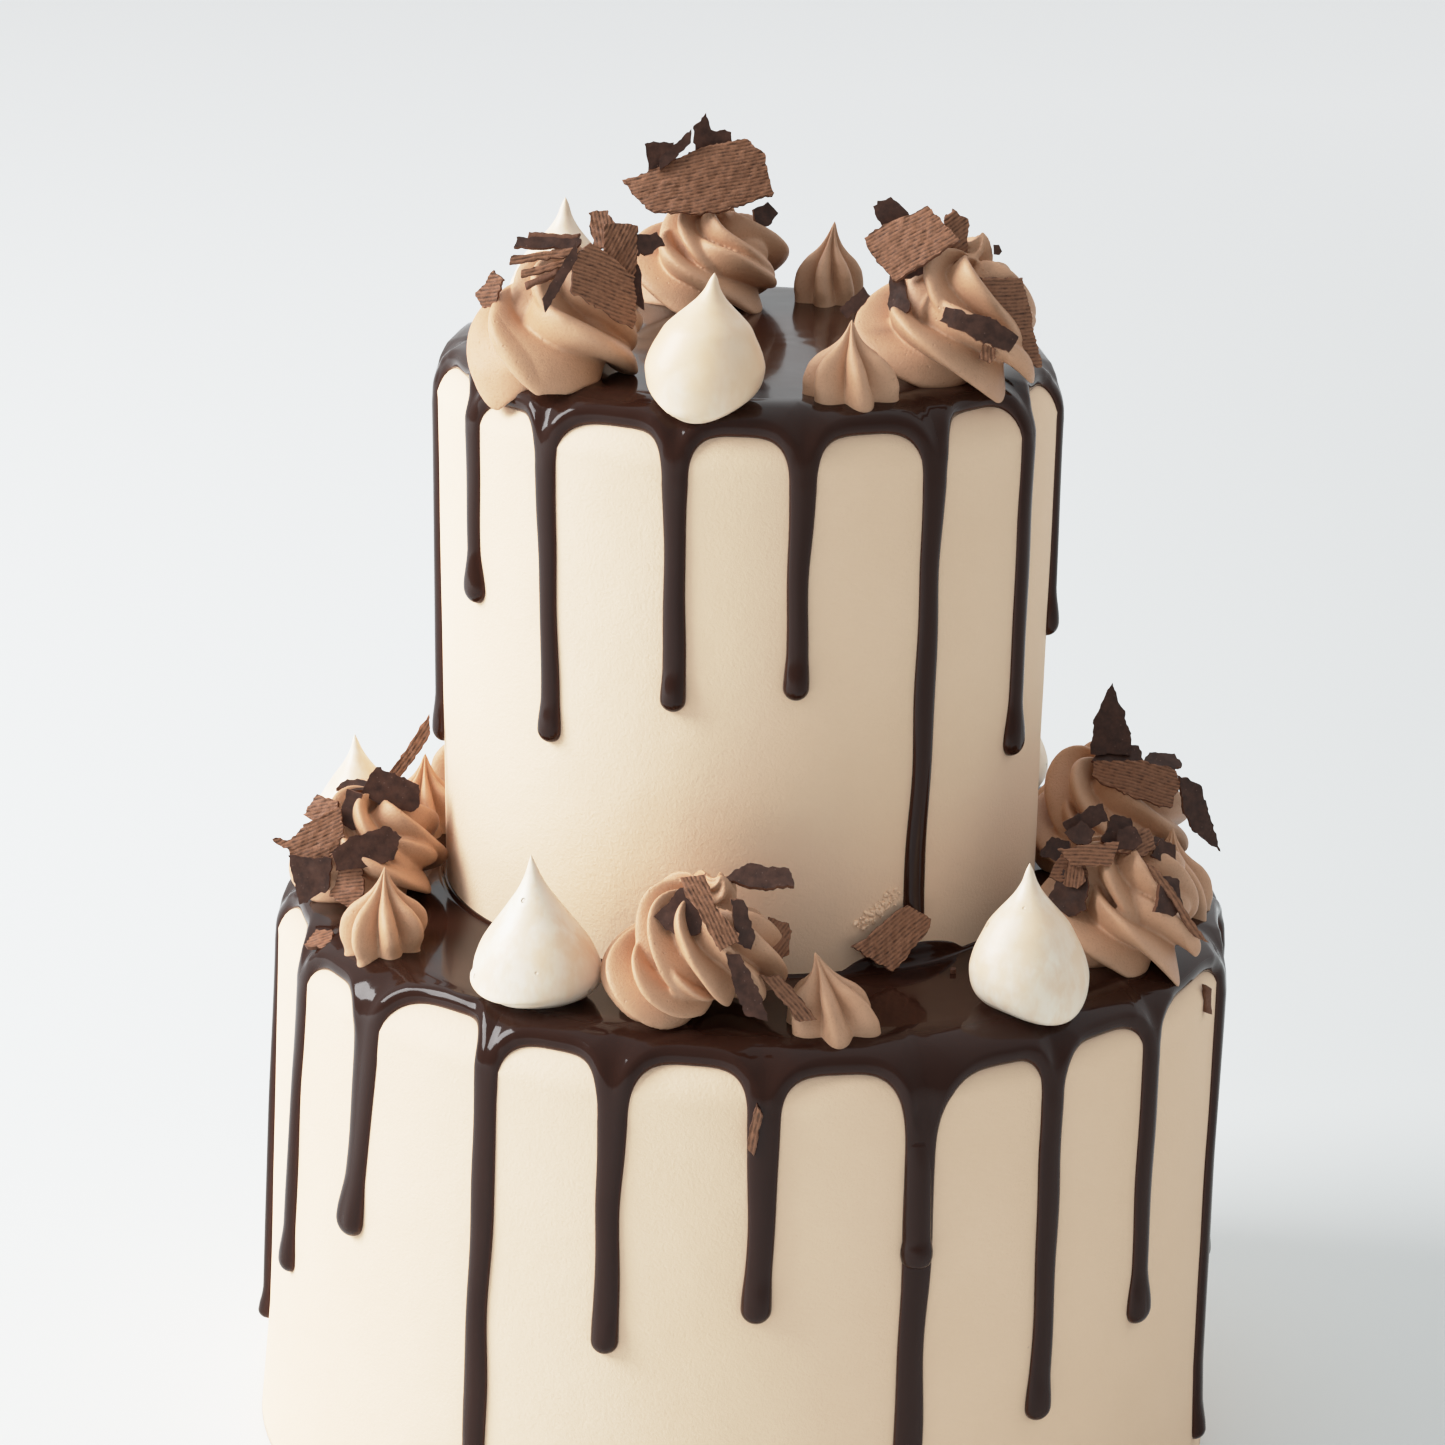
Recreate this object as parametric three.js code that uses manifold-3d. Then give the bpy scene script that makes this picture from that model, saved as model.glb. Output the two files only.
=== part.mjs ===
// A two-tier drip cake: smooth cream tiers, a dark poured glaze with long drips,
// piped swirls and stars, meringue kisses and broken flakes of shaved chocolate.
// Millimetres, +Z up, the origin at the middle of the underside, the front towards -Y.
import * as THREE from "three";
import Module from "manifold-3d";

const wasm = await Module();
wasm.setup();

// Space left between two pieces that lie on each other.
const GAP = 0.3;
const TURN = 2 * Math.PI;

// The part of a tier's height over which its wall flares out to the foot.
const FLARE_PART = 0.2;

// The two tiers. `foot` and `head` are the places of the axis at the underside and at the top,
// `spread` is how much wider the wall is at the underside than at the top.
const LOWER = {
  base: 0,
  height: 155,
  radius: 129.5,
  spread: 2.6,
  flare: 1.6,
  fillet: 12,
  foot: [-1.4, 0],
  head: [0, 0],
  columns: 44,
};
const UPPER = {
  base: LOWER.height + GAP,
  height: 149.6,
  radius: 82.5,
  spread: -1.8,
  flare: 0,
  fillet: 12,
  foot: [-3.6, 1.6],
  head: [-5.5, 1.6],
  columns: 44,
};

// The cream's own rim is this much rounder than the glaze that lies over it.
const RIM_ROUNDER = 2.4;

// The poured glaze: how thick it lies on top, on the wall and in the bead of a drip.
const GLAZE_TOP = 2;
const GLAZE_DRIP = 2.1;
const GLAZE_BEAD = 3.1;

// Sizes of the piped and baked toppings.
const SWIRL_RADIUS = 22.5;
const SWIRL_HEIGHT = 34;
const STAR_RADIUS = 11.5;
const STAR_HEIGHT = 22;
const KISS_RADIUS = 15.6;
const KISS_HEIGHT = 39;
const FLAKE_THICKNESS = 1.4;

// Flakes face the front and a little upwards unless they say otherwise: degrees round the cake
// counter-clockwise from +X, and degrees upwards.
const FRONT = [-90, 17];

// Corners closer than this are drawn together where two bodies are joined.
const SEAM = 0.14;
const GLAZE_SEAM = 0.03;

const CREAM = { color: 0xe6d3ba, roughness: 0.75, metalness: 0 };
const GLAZE = { color: 0x3a2724, roughness: 0.15, metalness: 0 };
const MOUSSE = { color: 0xbe9473, roughness: 0.55, metalness: 0 };
const MERINGUE = { color: 0xf0e6d6, roughness: 0.5, metalness: 0 };
const CHOCOLATE = { color: 0x5a3d30, roughness: 0.6, metalness: 0 };

const radians = (degrees) => (degrees * Math.PI) / 180;
const mix = (from, to, part) => from + (to - from) * part;
const clamp = (value) => Math.min(1, Math.max(0, value));
const smooth = (value) => clamp(value) ** 2 * (3 - 2 * clamp(value));

// A number between -1 and 1 that is always the same for the same seed.
function chance(seed) {
  const wave = Math.sin(seed * 127.1 + 31.7) * 43758.5453;
  return 2 * (wave - Math.floor(wave)) - 1;
}

// Bodies from points and triangles
class Faces {
  constructor() {
    this.points = [];
    this.known = new Map();
    this.triangles = [];
  }

  corner(point) {
    const key = point.map((value) => Math.round(value * 1000)).join(" ");
    if (!this.known.has(key)) {
      this.known.set(key, this.points.length);
      this.points.push(point);
    }
    return this.known.get(key);
  }

  triangle(a, b, c) {
    const corners = [this.corner(a), this.corner(b), this.corner(c)];
    if (new Set(corners).size === 3) this.triangles.push(...corners);
  }

  quad(a, b, c, d) {
    this.triangle(a, b, c);
    this.triangle(a, c, d);
  }

  solid() {
    return new wasm.Manifold(
      new wasm.Mesh({
        numProp: 3,
        vertProperties: new Float32Array(this.points.flat()),
        triVerts: new Uint32Array(this.triangles),
      }),
    );
  }
}

// Rings of equal count, each counter-clockwise and above the one before, closed at both ends.
function stack(rings, foot, tip) {
  const faces = new Faces();
  const count = rings[0].length;
  for (let k = 0; k < count; k += 1) {
    const next = (k + 1) % count;
    faces.triangle(foot, rings[0][next], rings[0][k]);
    for (let j = 0; j + 1 < rings.length; j += 1)
      faces.quad(rings[j][k], rings[j][next], rings[j + 1][next], rings[j + 1][k]);
    faces.triangle(tip, rings.at(-1)[k], rings.at(-1)[next]);
  }
  return faces.solid();
}

// The tiers
function axisAt(tier, z) {
  const part = (z - tier.base) / tier.height;
  return tier.foot.map((value, i) => mix(value, tier.head[i], part));
}

function wallRadius(tier, z) {
  const part = clamp((z - tier.base) / tier.height);
  return tier.radius + tier.spread * (1 - part) + tier.flare * Math.max(0, 1 - part / FLARE_PART);
}

// A place on the outside of a tier: `down` is the way along the surface from the edge of the
// flat top, over the rounded rim and down the wall, `out` is the distance off the surface.
function place(tier, angle, down, out) {
  const top = tier.base + tier.height;
  const flat = tier.radius - tier.fillet;
  const bend = Math.min(Math.max(down / tier.fillet, 0), Math.PI / 2);
  const below = Math.max(0, down - (tier.fillet * Math.PI) / 2);
  const z = top - tier.fillet + (tier.fillet + out) * Math.cos(bend) - below;
  const wall = below > 0 ? wallRadius(tier, z) - tier.radius : 0;
  const radius = flat + Math.min(down, 0) + (tier.fillet + out) * Math.sin(bend) + wall;
  const [x, y] = axisAt(tier, z);
  return [x + radius * Math.cos(angle), y + radius * Math.sin(angle), z];
}

// A whole tier, or with `out` the space that it and what lies on it take up.
function tierBody(tier, out, lowest, rounder = 0) {
  const wayDown = (z) => tier.height + tier.base - tier.fillet - z + (tier.fillet * Math.PI) / 2;
  const knee = tier.base + FLARE_PART * tier.height;
  const levels = tier.flare > 0 && lowest < knee ? [lowest, knee] : [lowest];
  const ways = [
    ...levels.map((z) => wayDown(z)),
    ...[90, 60, 30, 0].map((degrees) => tier.fillet * radians(degrees)),
  ];
  const ring = (down) => {
    const bend = Math.min(down / tier.fillet, Math.PI / 2);
    const depth = out - rounder * (Math.sin(bend) + Math.cos(bend) - 1);
    const angles = Array.from({ length: tier.columns }, (_, k) => (k / tier.columns) * TURN);
    return angles.map((angle) => place(tier, angle, down, depth));
  };
  const top = tier.base + tier.height + out;
  return stack(ways.map(ring), [...axisAt(tier, lowest), lowest], [...axisAt(tier, top), top]);
}

// The poured glaze. A drip is [angle, drift, length, half width, half width of its bead,
// way down at which its funnel ends, way down of the arch to its right, place of that crest].
const UPPER_DRIPS = [
  [-176.5, 0, 110, 2.9, 4, 23, 8.8, 0.5],
  [-149.2, 1.2, 60, 2.8, 4.2, 21.5, 11.9, 0.5],
  [-128.5, 1.3, 90.5, 2.8, 3.5, 25.5, 10.7, 0.6],
  [-102.6, 0, 76.8, 2.9, 3.4, 24.5, 10.9, 0.5],
  [-80, -0.8, 72.6, 2.9, 3.4, 24.5, 10.7, 0.5],
  [-54.7, -1.6, 138, 3.1, 3.1, 26, 7.5, 0.5],
  [-28.6, -1.3, 98.3, 3.2, 4.4, 22, 8.4, 0.5],
  [-7, 1.4, 74.3, 2.9, 3.8, 21, 9.9, 0.5],
  [20, 1, 54, 3, 3.8, 22, 11, 0.45],
  [47, -1, 92, 2.9, 3.7, 25, 9.9, 0.55],
  [75, 1, 63, 3.1, 3.9, 23, 10.5, 0.5],
  [103, -1, 105, 2.8, 3.5, 25, 9.5, 0.5],
  [130, 1, 48, 3, 3.9, 22, 10.8, 0.5],
  [158, 0, 84, 2.9, 3.6, 24, 9.9, 0.5],
];
const LOWER_DRIPS = [
  [-175, -1, 131, 2.4, 2.8, 23, 7.8, 0.5],
  [-155.6, -2.9, 98, 3, 4, 24.5, 11.5, 0.5],
  [-138.8, -2.8, 72.2, 4.3, 5, 28, 6.2, 0.7],
  [-120.8, -0.1, 146, 3.3, 3.5, 23, 10.1, 0.5],
  [-105.2, 0, 82.3, 3.3, 3.6, 27, 9.5, 0.5],
  [-88.5, 0.3, 70.8, 3.6, 3.9, 23.5, 11.5, 0.5],
  [-70.7, 0.3, 142, 3.75, 3.6, 36, 13.4, 0.72],
  [-53.8, 0.3, 107.5, 3.3, 3.9, 26, 12.5, 0.5],
  [-37, 0.1, 92, 3.45, 4.6, 23.5, 12, 0.5],
  [-13.2, -2.2, 147, 3.6, 3.4, 23, 11, 0.5],
  [3, 0, 112, 3.1, 3.9, 23, 9.9, 0.5],
  [22, 1, 84, 3.4, 4.2, 25, 8.8, 0.5],
  [42, -1, 126, 3.3, 4, 23, 11, 0.4],
  [62, 0, 72, 3.6, 4.4, 27, 9.9, 0.5],
  [82, 1, 139, 3.2, 3.8, 24, 12, 0.55],
  [103, -1, 93, 3.5, 4.3, 25, 9.3, 0.5],
  [124, 1, 117, 3.2, 4, 23, 11, 0.5],
  [145, 0, 66, 3.6, 4.4, 27, 9.9, 0.45],
  [166, 1, 104, 3.3, 4.1, 24, 11, 0.5],
];

function dripOf([at, drift, length, half, bead, funnel, arch, crest], tier) {
  const end = length + tier.fillet * (Math.PI / 2 - 1);
  const middle = (down) => radians(at + drift * clamp(down / end));
  return { end, half, bead, funnel, arch, crest, middle };
}

// A drip is this much wider where its funnel ends, and has lost most of that this far below.
const NECK = 1.1;
const NECK_FADE = 14;

// It swells to its bead over this many half widths of the bead, counted from its lower end.
const SWELL_FROM = 5;
const SWELL_OVER = 4;

const swellOf = (drip, down) =>
  smooth((down - drip.end + SWELL_FROM * drip.bead) / (SWELL_OVER * drip.bead));

function halfWidth(drip, down) {
  const neck = NECK * Math.exp(-(down - drip.funnel) / NECK_FADE);
  return mix(drip.half + neck, drip.bead, swellOf(drip, down));
}

function dripThickness(drip, down) {
  const strand = mix(GLAZE_TOP, GLAZE_DRIP, clamp(down / drip.funnel));
  return mix(strand, GLAZE_BEAD, swellOf(drip, down));
}

// From a funnel up to the corner of an arch: how far round the curve of the arch, and how far
// down on the middle line of the drip, where null is the lower end of the funnel.
const ARCH_STEPS = [
  [0, null],
  [0.16, 18.8],
  [0.32, 12.6],
  [0.5, 6.3],
  [0.68, 0],
];

// How sharply an arch turns into its crest and into the drip.
const ARCH_ACROSS = 0.6;
const ARCH_UP = 0.75;
const CAP_STEPS = 3;

// The edge of the glaze from one drip's funnel over the arch to the next, then round that drip,
// with for each point of the edge the place on the ridge that it slopes up to.
function glazeEdge(tier, left, right) {
  const samples = [];
  const arc = (mm) => mm / tier.radius;
  const from = left.middle(left.funnel) + arc(halfWidth(left, left.funnel));
  const to = right.middle(right.funnel) - arc(halfWidth(right, right.funnel));
  const onArch = (side, swing, drop, along) => {
    const part = (swing * Math.PI) / 2;
    const across = 1 - Math.cos(part) ** ARCH_ACROSS;
    const angle = mix(side === left ? from : to, mix(from, to, left.crest), across);
    const down = mix(side.funnel, left.arch, Math.sin(part) ** ARCH_UP);
    const way = drop === null ? side.funnel : drop;
    const root = [mix(left.middle(way), right.middle(way), along), way];
    samples.push({ edge: [angle, down], root, thickness: dripThickness(side, way) });
  };
  ARCH_STEPS.forEach(([swing, drop]) => onArch(left, swing, drop, 0));
  onArch(left, 1, 0, 0.5);
  [...ARCH_STEPS].slice(1).reverse().forEach(([swing, drop]) => onArch(right, swing, drop, 1));

  const onDrip = (down, side, below = 0) => samples.push({
    edge: [right.middle(down) + arc(side), down + below],
    root: [right.middle(down), down],
    thickness: dripThickness(right, down),
  });
  const last = right.end - right.bead;
  const strand = [right.funnel, right.end - SWELL_FROM * right.bead];
  strand.forEach((down) => onDrip(down, -halfWidth(right, down)));
  for (let k = 0; k <= CAP_STEPS; k += 1) {
    const swing = Math.PI * (k / CAP_STEPS);
    onDrip(last, -right.bead * Math.cos(swing), right.bead * Math.sin(swing));
  }
  strand.slice(1).reverse().forEach((down) => onDrip(down, halfWidth(right, down)));
  return samples;
}

// The glaze of the lower tier ends in a ring with few corners, which stands off by this much more.
const RING_SLACK = 0.35;

// The lip that the glaze of the lower tier makes round the foot of the upper one, and how far
// it has splashed up under the longest drip.
const LIP = 0.9;
const SPLASH = 6;
const SPLASH_ANGLE = -56;
const SPLASH_REACH = 20;

function lipHeight(angle) {
  const degrees = (angle * 180) / Math.PI;
  const away = Math.abs(((degrees - SPLASH_ANGLE + 540) % 360) - 180);
  return LIP + SPLASH * Math.cos(radians(90) * clamp(away / SPLASH_REACH)) ** 0.6;
}

// The glaze rises from its edge to its ridge in a rounded bulge of two flat steps.
const ACROSS = [0, 0.4, 1];
const BULGE = 2.4;

function glazeBody(tier, rows, inside) {
  const [at, ...rest] = rows[0];
  const drips = [...rows, [at + 360, ...rest]].map((row) => dripOf(row, tier));
  const samples = rows.flatMap((_, i) => glazeEdge(tier, drips[i], drips[i + 1]));
  const layer = ({ edge, root, thickness }, v, raised) => {
    const bulge = (1 - (1 - v) ** BULGE) ** (1 / BULGE);
    const down = mix(edge[1], root[1], v);
    const out = GAP + (raised ? thickness * bulge : 0);
    return place(tier, mix(edge[0], root[0], v), down, out);
  };
  const faces = new Faces();
  samples.forEach((here, j) => {
    const next = samples[(j + 1) % samples.length];
    for (let i = 0; i + 1 < ACROSS.length; i += 1) {
      const [v, w] = [ACROSS[i], ACROSS[i + 1]];
      const patch = [[here, v], [next, v], [next, w], [here, w]];
      const [top, under] = [true, false].map((raised) =>
        patch.map(([sample, part]) => layer(sample, part, raised)),
      );
      faces.quad(...top);
      faces.quad(...under.reverse());
    }
    if (here.root[1] > 0 || next.root[1] > 0) return;
    inside(faces, here.root[0], next.root[0], (angle, out) => place(tier, angle, 0, out));
  });
  const under = tierBody(tier, GAP / 2, tier.base, RIM_ROUNDER);
  return faces.solid().subtract(under).simplify(GLAZE_SEAM);
}

function upperGlaze() {
  const floor = UPPER.base + UPPER.height + GAP;
  return glazeBody(UPPER, UPPER_DRIPS, (faces, a, b, rim) => {
    const [x, y] = axisAt(UPPER, floor);
    faces.triangle([x, y, floor + GLAZE_TOP], rim(a, GAP + GLAZE_TOP), rim(b, GAP + GLAZE_TOP));
    faces.triangle([x, y, floor], rim(b, GAP), rim(a, GAP));
  });
}

// Where the glaze of the lower tier begins to rise towards the upper tier.
const SHOULDER = 2.5;

function lowerGlaze() {
  const floor = LOWER.height + GAP;
  const innerRing = (angle, way, z) => {
    const [x, y] = axisAt(UPPER, z);
    const radius = wallRadius(UPPER, UPPER.base) + GAP + RING_SLACK + way;
    return [x + radius * Math.cos(angle), y + radius * Math.sin(angle), z];
  };
  return glazeBody(LOWER, LOWER_DRIPS, (faces, a, b, rim) => {
    const shoulder = (angle) => innerRing(angle, SHOULDER, floor + GLAZE_TOP);
    const lip = (angle) => innerRing(angle, 0, floor + GLAZE_TOP + lipHeight(angle));
    const under = (angle) => innerRing(angle, 0, floor);
    faces.quad(rim(a, GAP + GLAZE_TOP), rim(b, GAP + GLAZE_TOP), shoulder(b), shoulder(a));
    faces.quad(shoulder(a), shoulder(b), lip(b), lip(a));
    faces.quad(lip(a), lip(b), under(b), under(a));
    faces.quad(under(a), under(b), rim(b, GAP), rim(a, GAP));
  });
}

// How far the glaze falls away under a point that lies beyond the flat top of a tier. What hangs
// out further than this part of the rounding sinks no more.
const MOST_OVERHANG = 0.9;

function fallAt(tier, x, y) {
  const [cx, cy] = tier.head;
  const reach = tier.fillet + GAP + GLAZE_TOP;
  const beyond = Math.hypot(x - cx, y - cy) - (tier.radius - tier.fillet);
  const part = Math.min(Math.max(beyond, 0), MOST_OVERHANG * reach);
  return reach - Math.sqrt(reach ** 2 - part ** 2);
}

// A piped or baked topping on a tier, from rows of [height, radius, depth of the ridges, twist in
// degrees]. It has two columns of points to a ridge, or `lobes` plain columns without ridges, and
// sinks a little over the rim of the tier that it stands on.
const SINK = 1;
const UNEVEN = 0.05;

function piped({ tier, at, radius, height, lobes, rows, phase = 0, lean = [0, 0], even = false }) {
  const ground = tier.base + tier.height + 2 * GAP + GLAZE_TOP;
  const count = even ? lobes : 2 * lobes;
  const settle = ([x, y, up]) => {
    const fall = fallAt(tier, x, y) * (1 - clamp(up / height)) ** 1.5;
    return [x, y, ground + up - fall];
  };
  const ring = ([up, width, depth, twist]) =>
    Array.from({ length: count }, (_, k) => {
      const ridge = even ? 0 : k % 2 === 0 ? 1 : -1;
      const wobble = 1 + UNEVEN * chance(phase + Math.floor(k / 2) * 1.7 + up * 3);
      const angle = radians(phase - twist) + (k / count) * TURN;
      const reach = radius * width * (even ? 1 : wobble) * (1 + depth * ridge - depth);
      const slide = clamp(up) ** 1.5;
      return settle([
        at[0] + lean[0] * slide + reach * Math.cos(angle),
        at[1] + lean[1] * slide + reach * Math.sin(angle),
        up === 0 ? -SINK : up * height,
      ]);
    });
  const tip = [at[0] + lean[0], at[1] + lean[1], ground + height];
  const foot = settle([...at, -SINK]);
  return stack(rows.map(ring), foot, tip);
}

// Rows of the pieces a swirl is made of, and of the small star and the kiss.
const SKIRT_ROWS = [
  [0, 0.9, 0.1, 0],
  [0.08, 1, 0.13, 8],
  [0.26, 0.97, 0.14, 26],
  [0.42, 0.78, 0.14, 44],
  [0.5, 0.4, 0.1, 52],
];
const CROWN_ROWS = [
  [0.24, 0.5, 0.1, 24],
  [0.36, 0.84, 0.12, 36],
  [0.5, 0.88, 0.14, 56],
  [0.66, 0.8, 0.15, 80],
  [0.82, 0.6, 0.16, 106],
  [0.93, 0.34, 0.14, 126],
];
const STAR_ROWS = [
  [0, 0.86, 0.1, 0],
  [0.14, 1, 0.13, 4],
  [0.34, 0.84, 0.15, 10],
  [0.56, 0.52, 0.15, 18],
  [0.78, 0.2, 0.1, 28],
];
const KISS_ROWS = [
  [0, 0.58, 0, 0],
  [0.12, 0.8, 0, 0],
  [0.32, 1, 0, 0],
  [0.5, 0.9, 0, 0],
  [0.64, 0.66, 0, 0],
  [0.75, 0.4, 0, 0],
  [0.86, 0.16, 0, 0],
];

// The upper part of each tier with its glaze, which trims what stands on it.
const TRIM_DEPTH = 25;
const glazed = new Map([LOWER, UPPER].map((tier) =>
  [tier, tierBody(tier, 2 * GAP + GLAZE_TOP, tier.base + tier.height - TRIM_DEPTH)],
));
const onTier = (solid, tier) => solid.subtract(glazed.get(tier));

// A swirl is a skirt of six lobes and a crown on it, `twin` off the middle of the skirt, whose
// lobes start this many degrees further round.
const CROWN_TURN = 24;

function swirl({ tier, at, radius = SWIRL_RADIUS, height = SWIRL_HEIGHT, phase, lean, twin = [0, 0] }) {
  const share = { tier, radius, height, lobes: 6 };
  const skirt = piped({ ...share, at, phase, rows: SKIRT_ROWS });
  const middle = [at[0] + twin[0], at[1] + twin[1]];
  const crown = piped({ ...share, at: middle, phase: phase + CROWN_TURN, lean, rows: CROWN_ROWS });
  return onTier(skirt.add(crown), tier);
}

const star = ({ radius = STAR_RADIUS, height = STAR_HEIGHT, ...sizes }) =>
  onTier(piped({ ...sizes, radius, height, lobes: 7, rows: STAR_ROWS }), sizes.tier);

const kiss = ({ radius = KISS_RADIUS, height = KISS_HEIGHT, ...sizes }) =>
  onTier(piped({ ...sizes, radius, height, lobes: 10, rows: KISS_ROWS, even: true }), sizes.tier);

// The outlines of small broken flakes, in parts of their width and height.
const SHAPES = {
  slab: [[-0.5, -0.3], [0.1, -0.5], [0.5, -0.28], [0.4, 0.4], [-0.2, 0.5]],
  strip: [[-0.5, -0.36], [0.42, -0.5], [0.5, 0.3], [-0.46, 0.5]],
};

// The notch for a flake is larger than the flake by `pad` at its faces, and by more at its rim.
const PAD_REACH = 1.6;

// A flake round its middle `at`, with a shape of that size or an outline of its own in
// millimetres: `face` is the way it looks, `roll` turns it in its own plane in degrees, and
// `bend` is how far its ends curl back.
function flake(sizes, pad = 0) {
  const { at, size = [1, 1], shape = "slab", outline, face = FRONT, roll = 0, bend = 0 } = sizes;
  const [azimuth, rise] = face.map(radians);
  const level = Math.cos(rise);
  const normal = new THREE.Vector3(level * Math.cos(azimuth), level * Math.sin(azimuth), Math.sin(rise));
  const right = new THREE.Vector3(-Math.sin(azimuth), Math.cos(azimuth), 0);
  right.applyAxisAngle(normal, radians(roll));
  const up = new THREE.Vector3().crossVectors(normal, right);
  const plain = outline ?? SHAPES[shape];
  const corners = plain.map(([u, v]) => new THREE.Vector2(u * size[0], v * size[1]));
  const reach = Math.max(...corners.map((corner) => corner.length()));
  const point = (corner, side) => {
    const grown = corner.clone().setLength(corner.length() + PAD_REACH * pad);
    const lift = side * (FLAKE_THICKNESS / 2 + pad) - bend * (corner.length() / reach) ** 2;
    const spot = new THREE.Vector3(...at).addScaledVector(right, grown.x).addScaledVector(up, grown.y);
    return spot.addScaledVector(normal, lift).toArray();
  };
  const faces = new Faces();
  for (const [i, j, k] of THREE.ShapeUtils.triangulateShape(corners, [])) {
    faces.triangle(point(corners[i], 1), point(corners[j], 1), point(corners[k], 1));
    faces.triangle(point(corners[i], -1), point(corners[k], -1), point(corners[j], -1));
  }
  corners.forEach((corner, k) => {
    const next = corners[(k + 1) % corners.length];
    faces.quad(point(corner, -1), point(next, -1), point(next, 1), point(corner, 1));
  });
  return faces.solid();
}

const looks = { CREAM, GLAZE, MOUSSE, MERINGUE, CHOCOLATE };
const group = new THREE.Group();

function addPiece(name, solid, look) {
  const mesh = solid.getMesh();
  const geometry = new THREE.BufferGeometry();
  geometry.setAttribute("position", new THREE.BufferAttribute(mesh.vertProperties, mesh.numProp));
  geometry.setIndex(new THREE.BufferAttribute(mesh.triVerts, 1));
  geometry.computeVertexNormals();
  const piece = new THREE.Mesh(geometry, new THREE.MeshStandardMaterial(looks[look]));
  piece.name = name;
  group.add(piece);
}

// The largest closed body of a solid, so that a crumb that a notch cuts off isn't left behind.
const largest = (solid) => solid.decompose().sort((a, b) => b.volume() - a.volume())[0];

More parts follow.
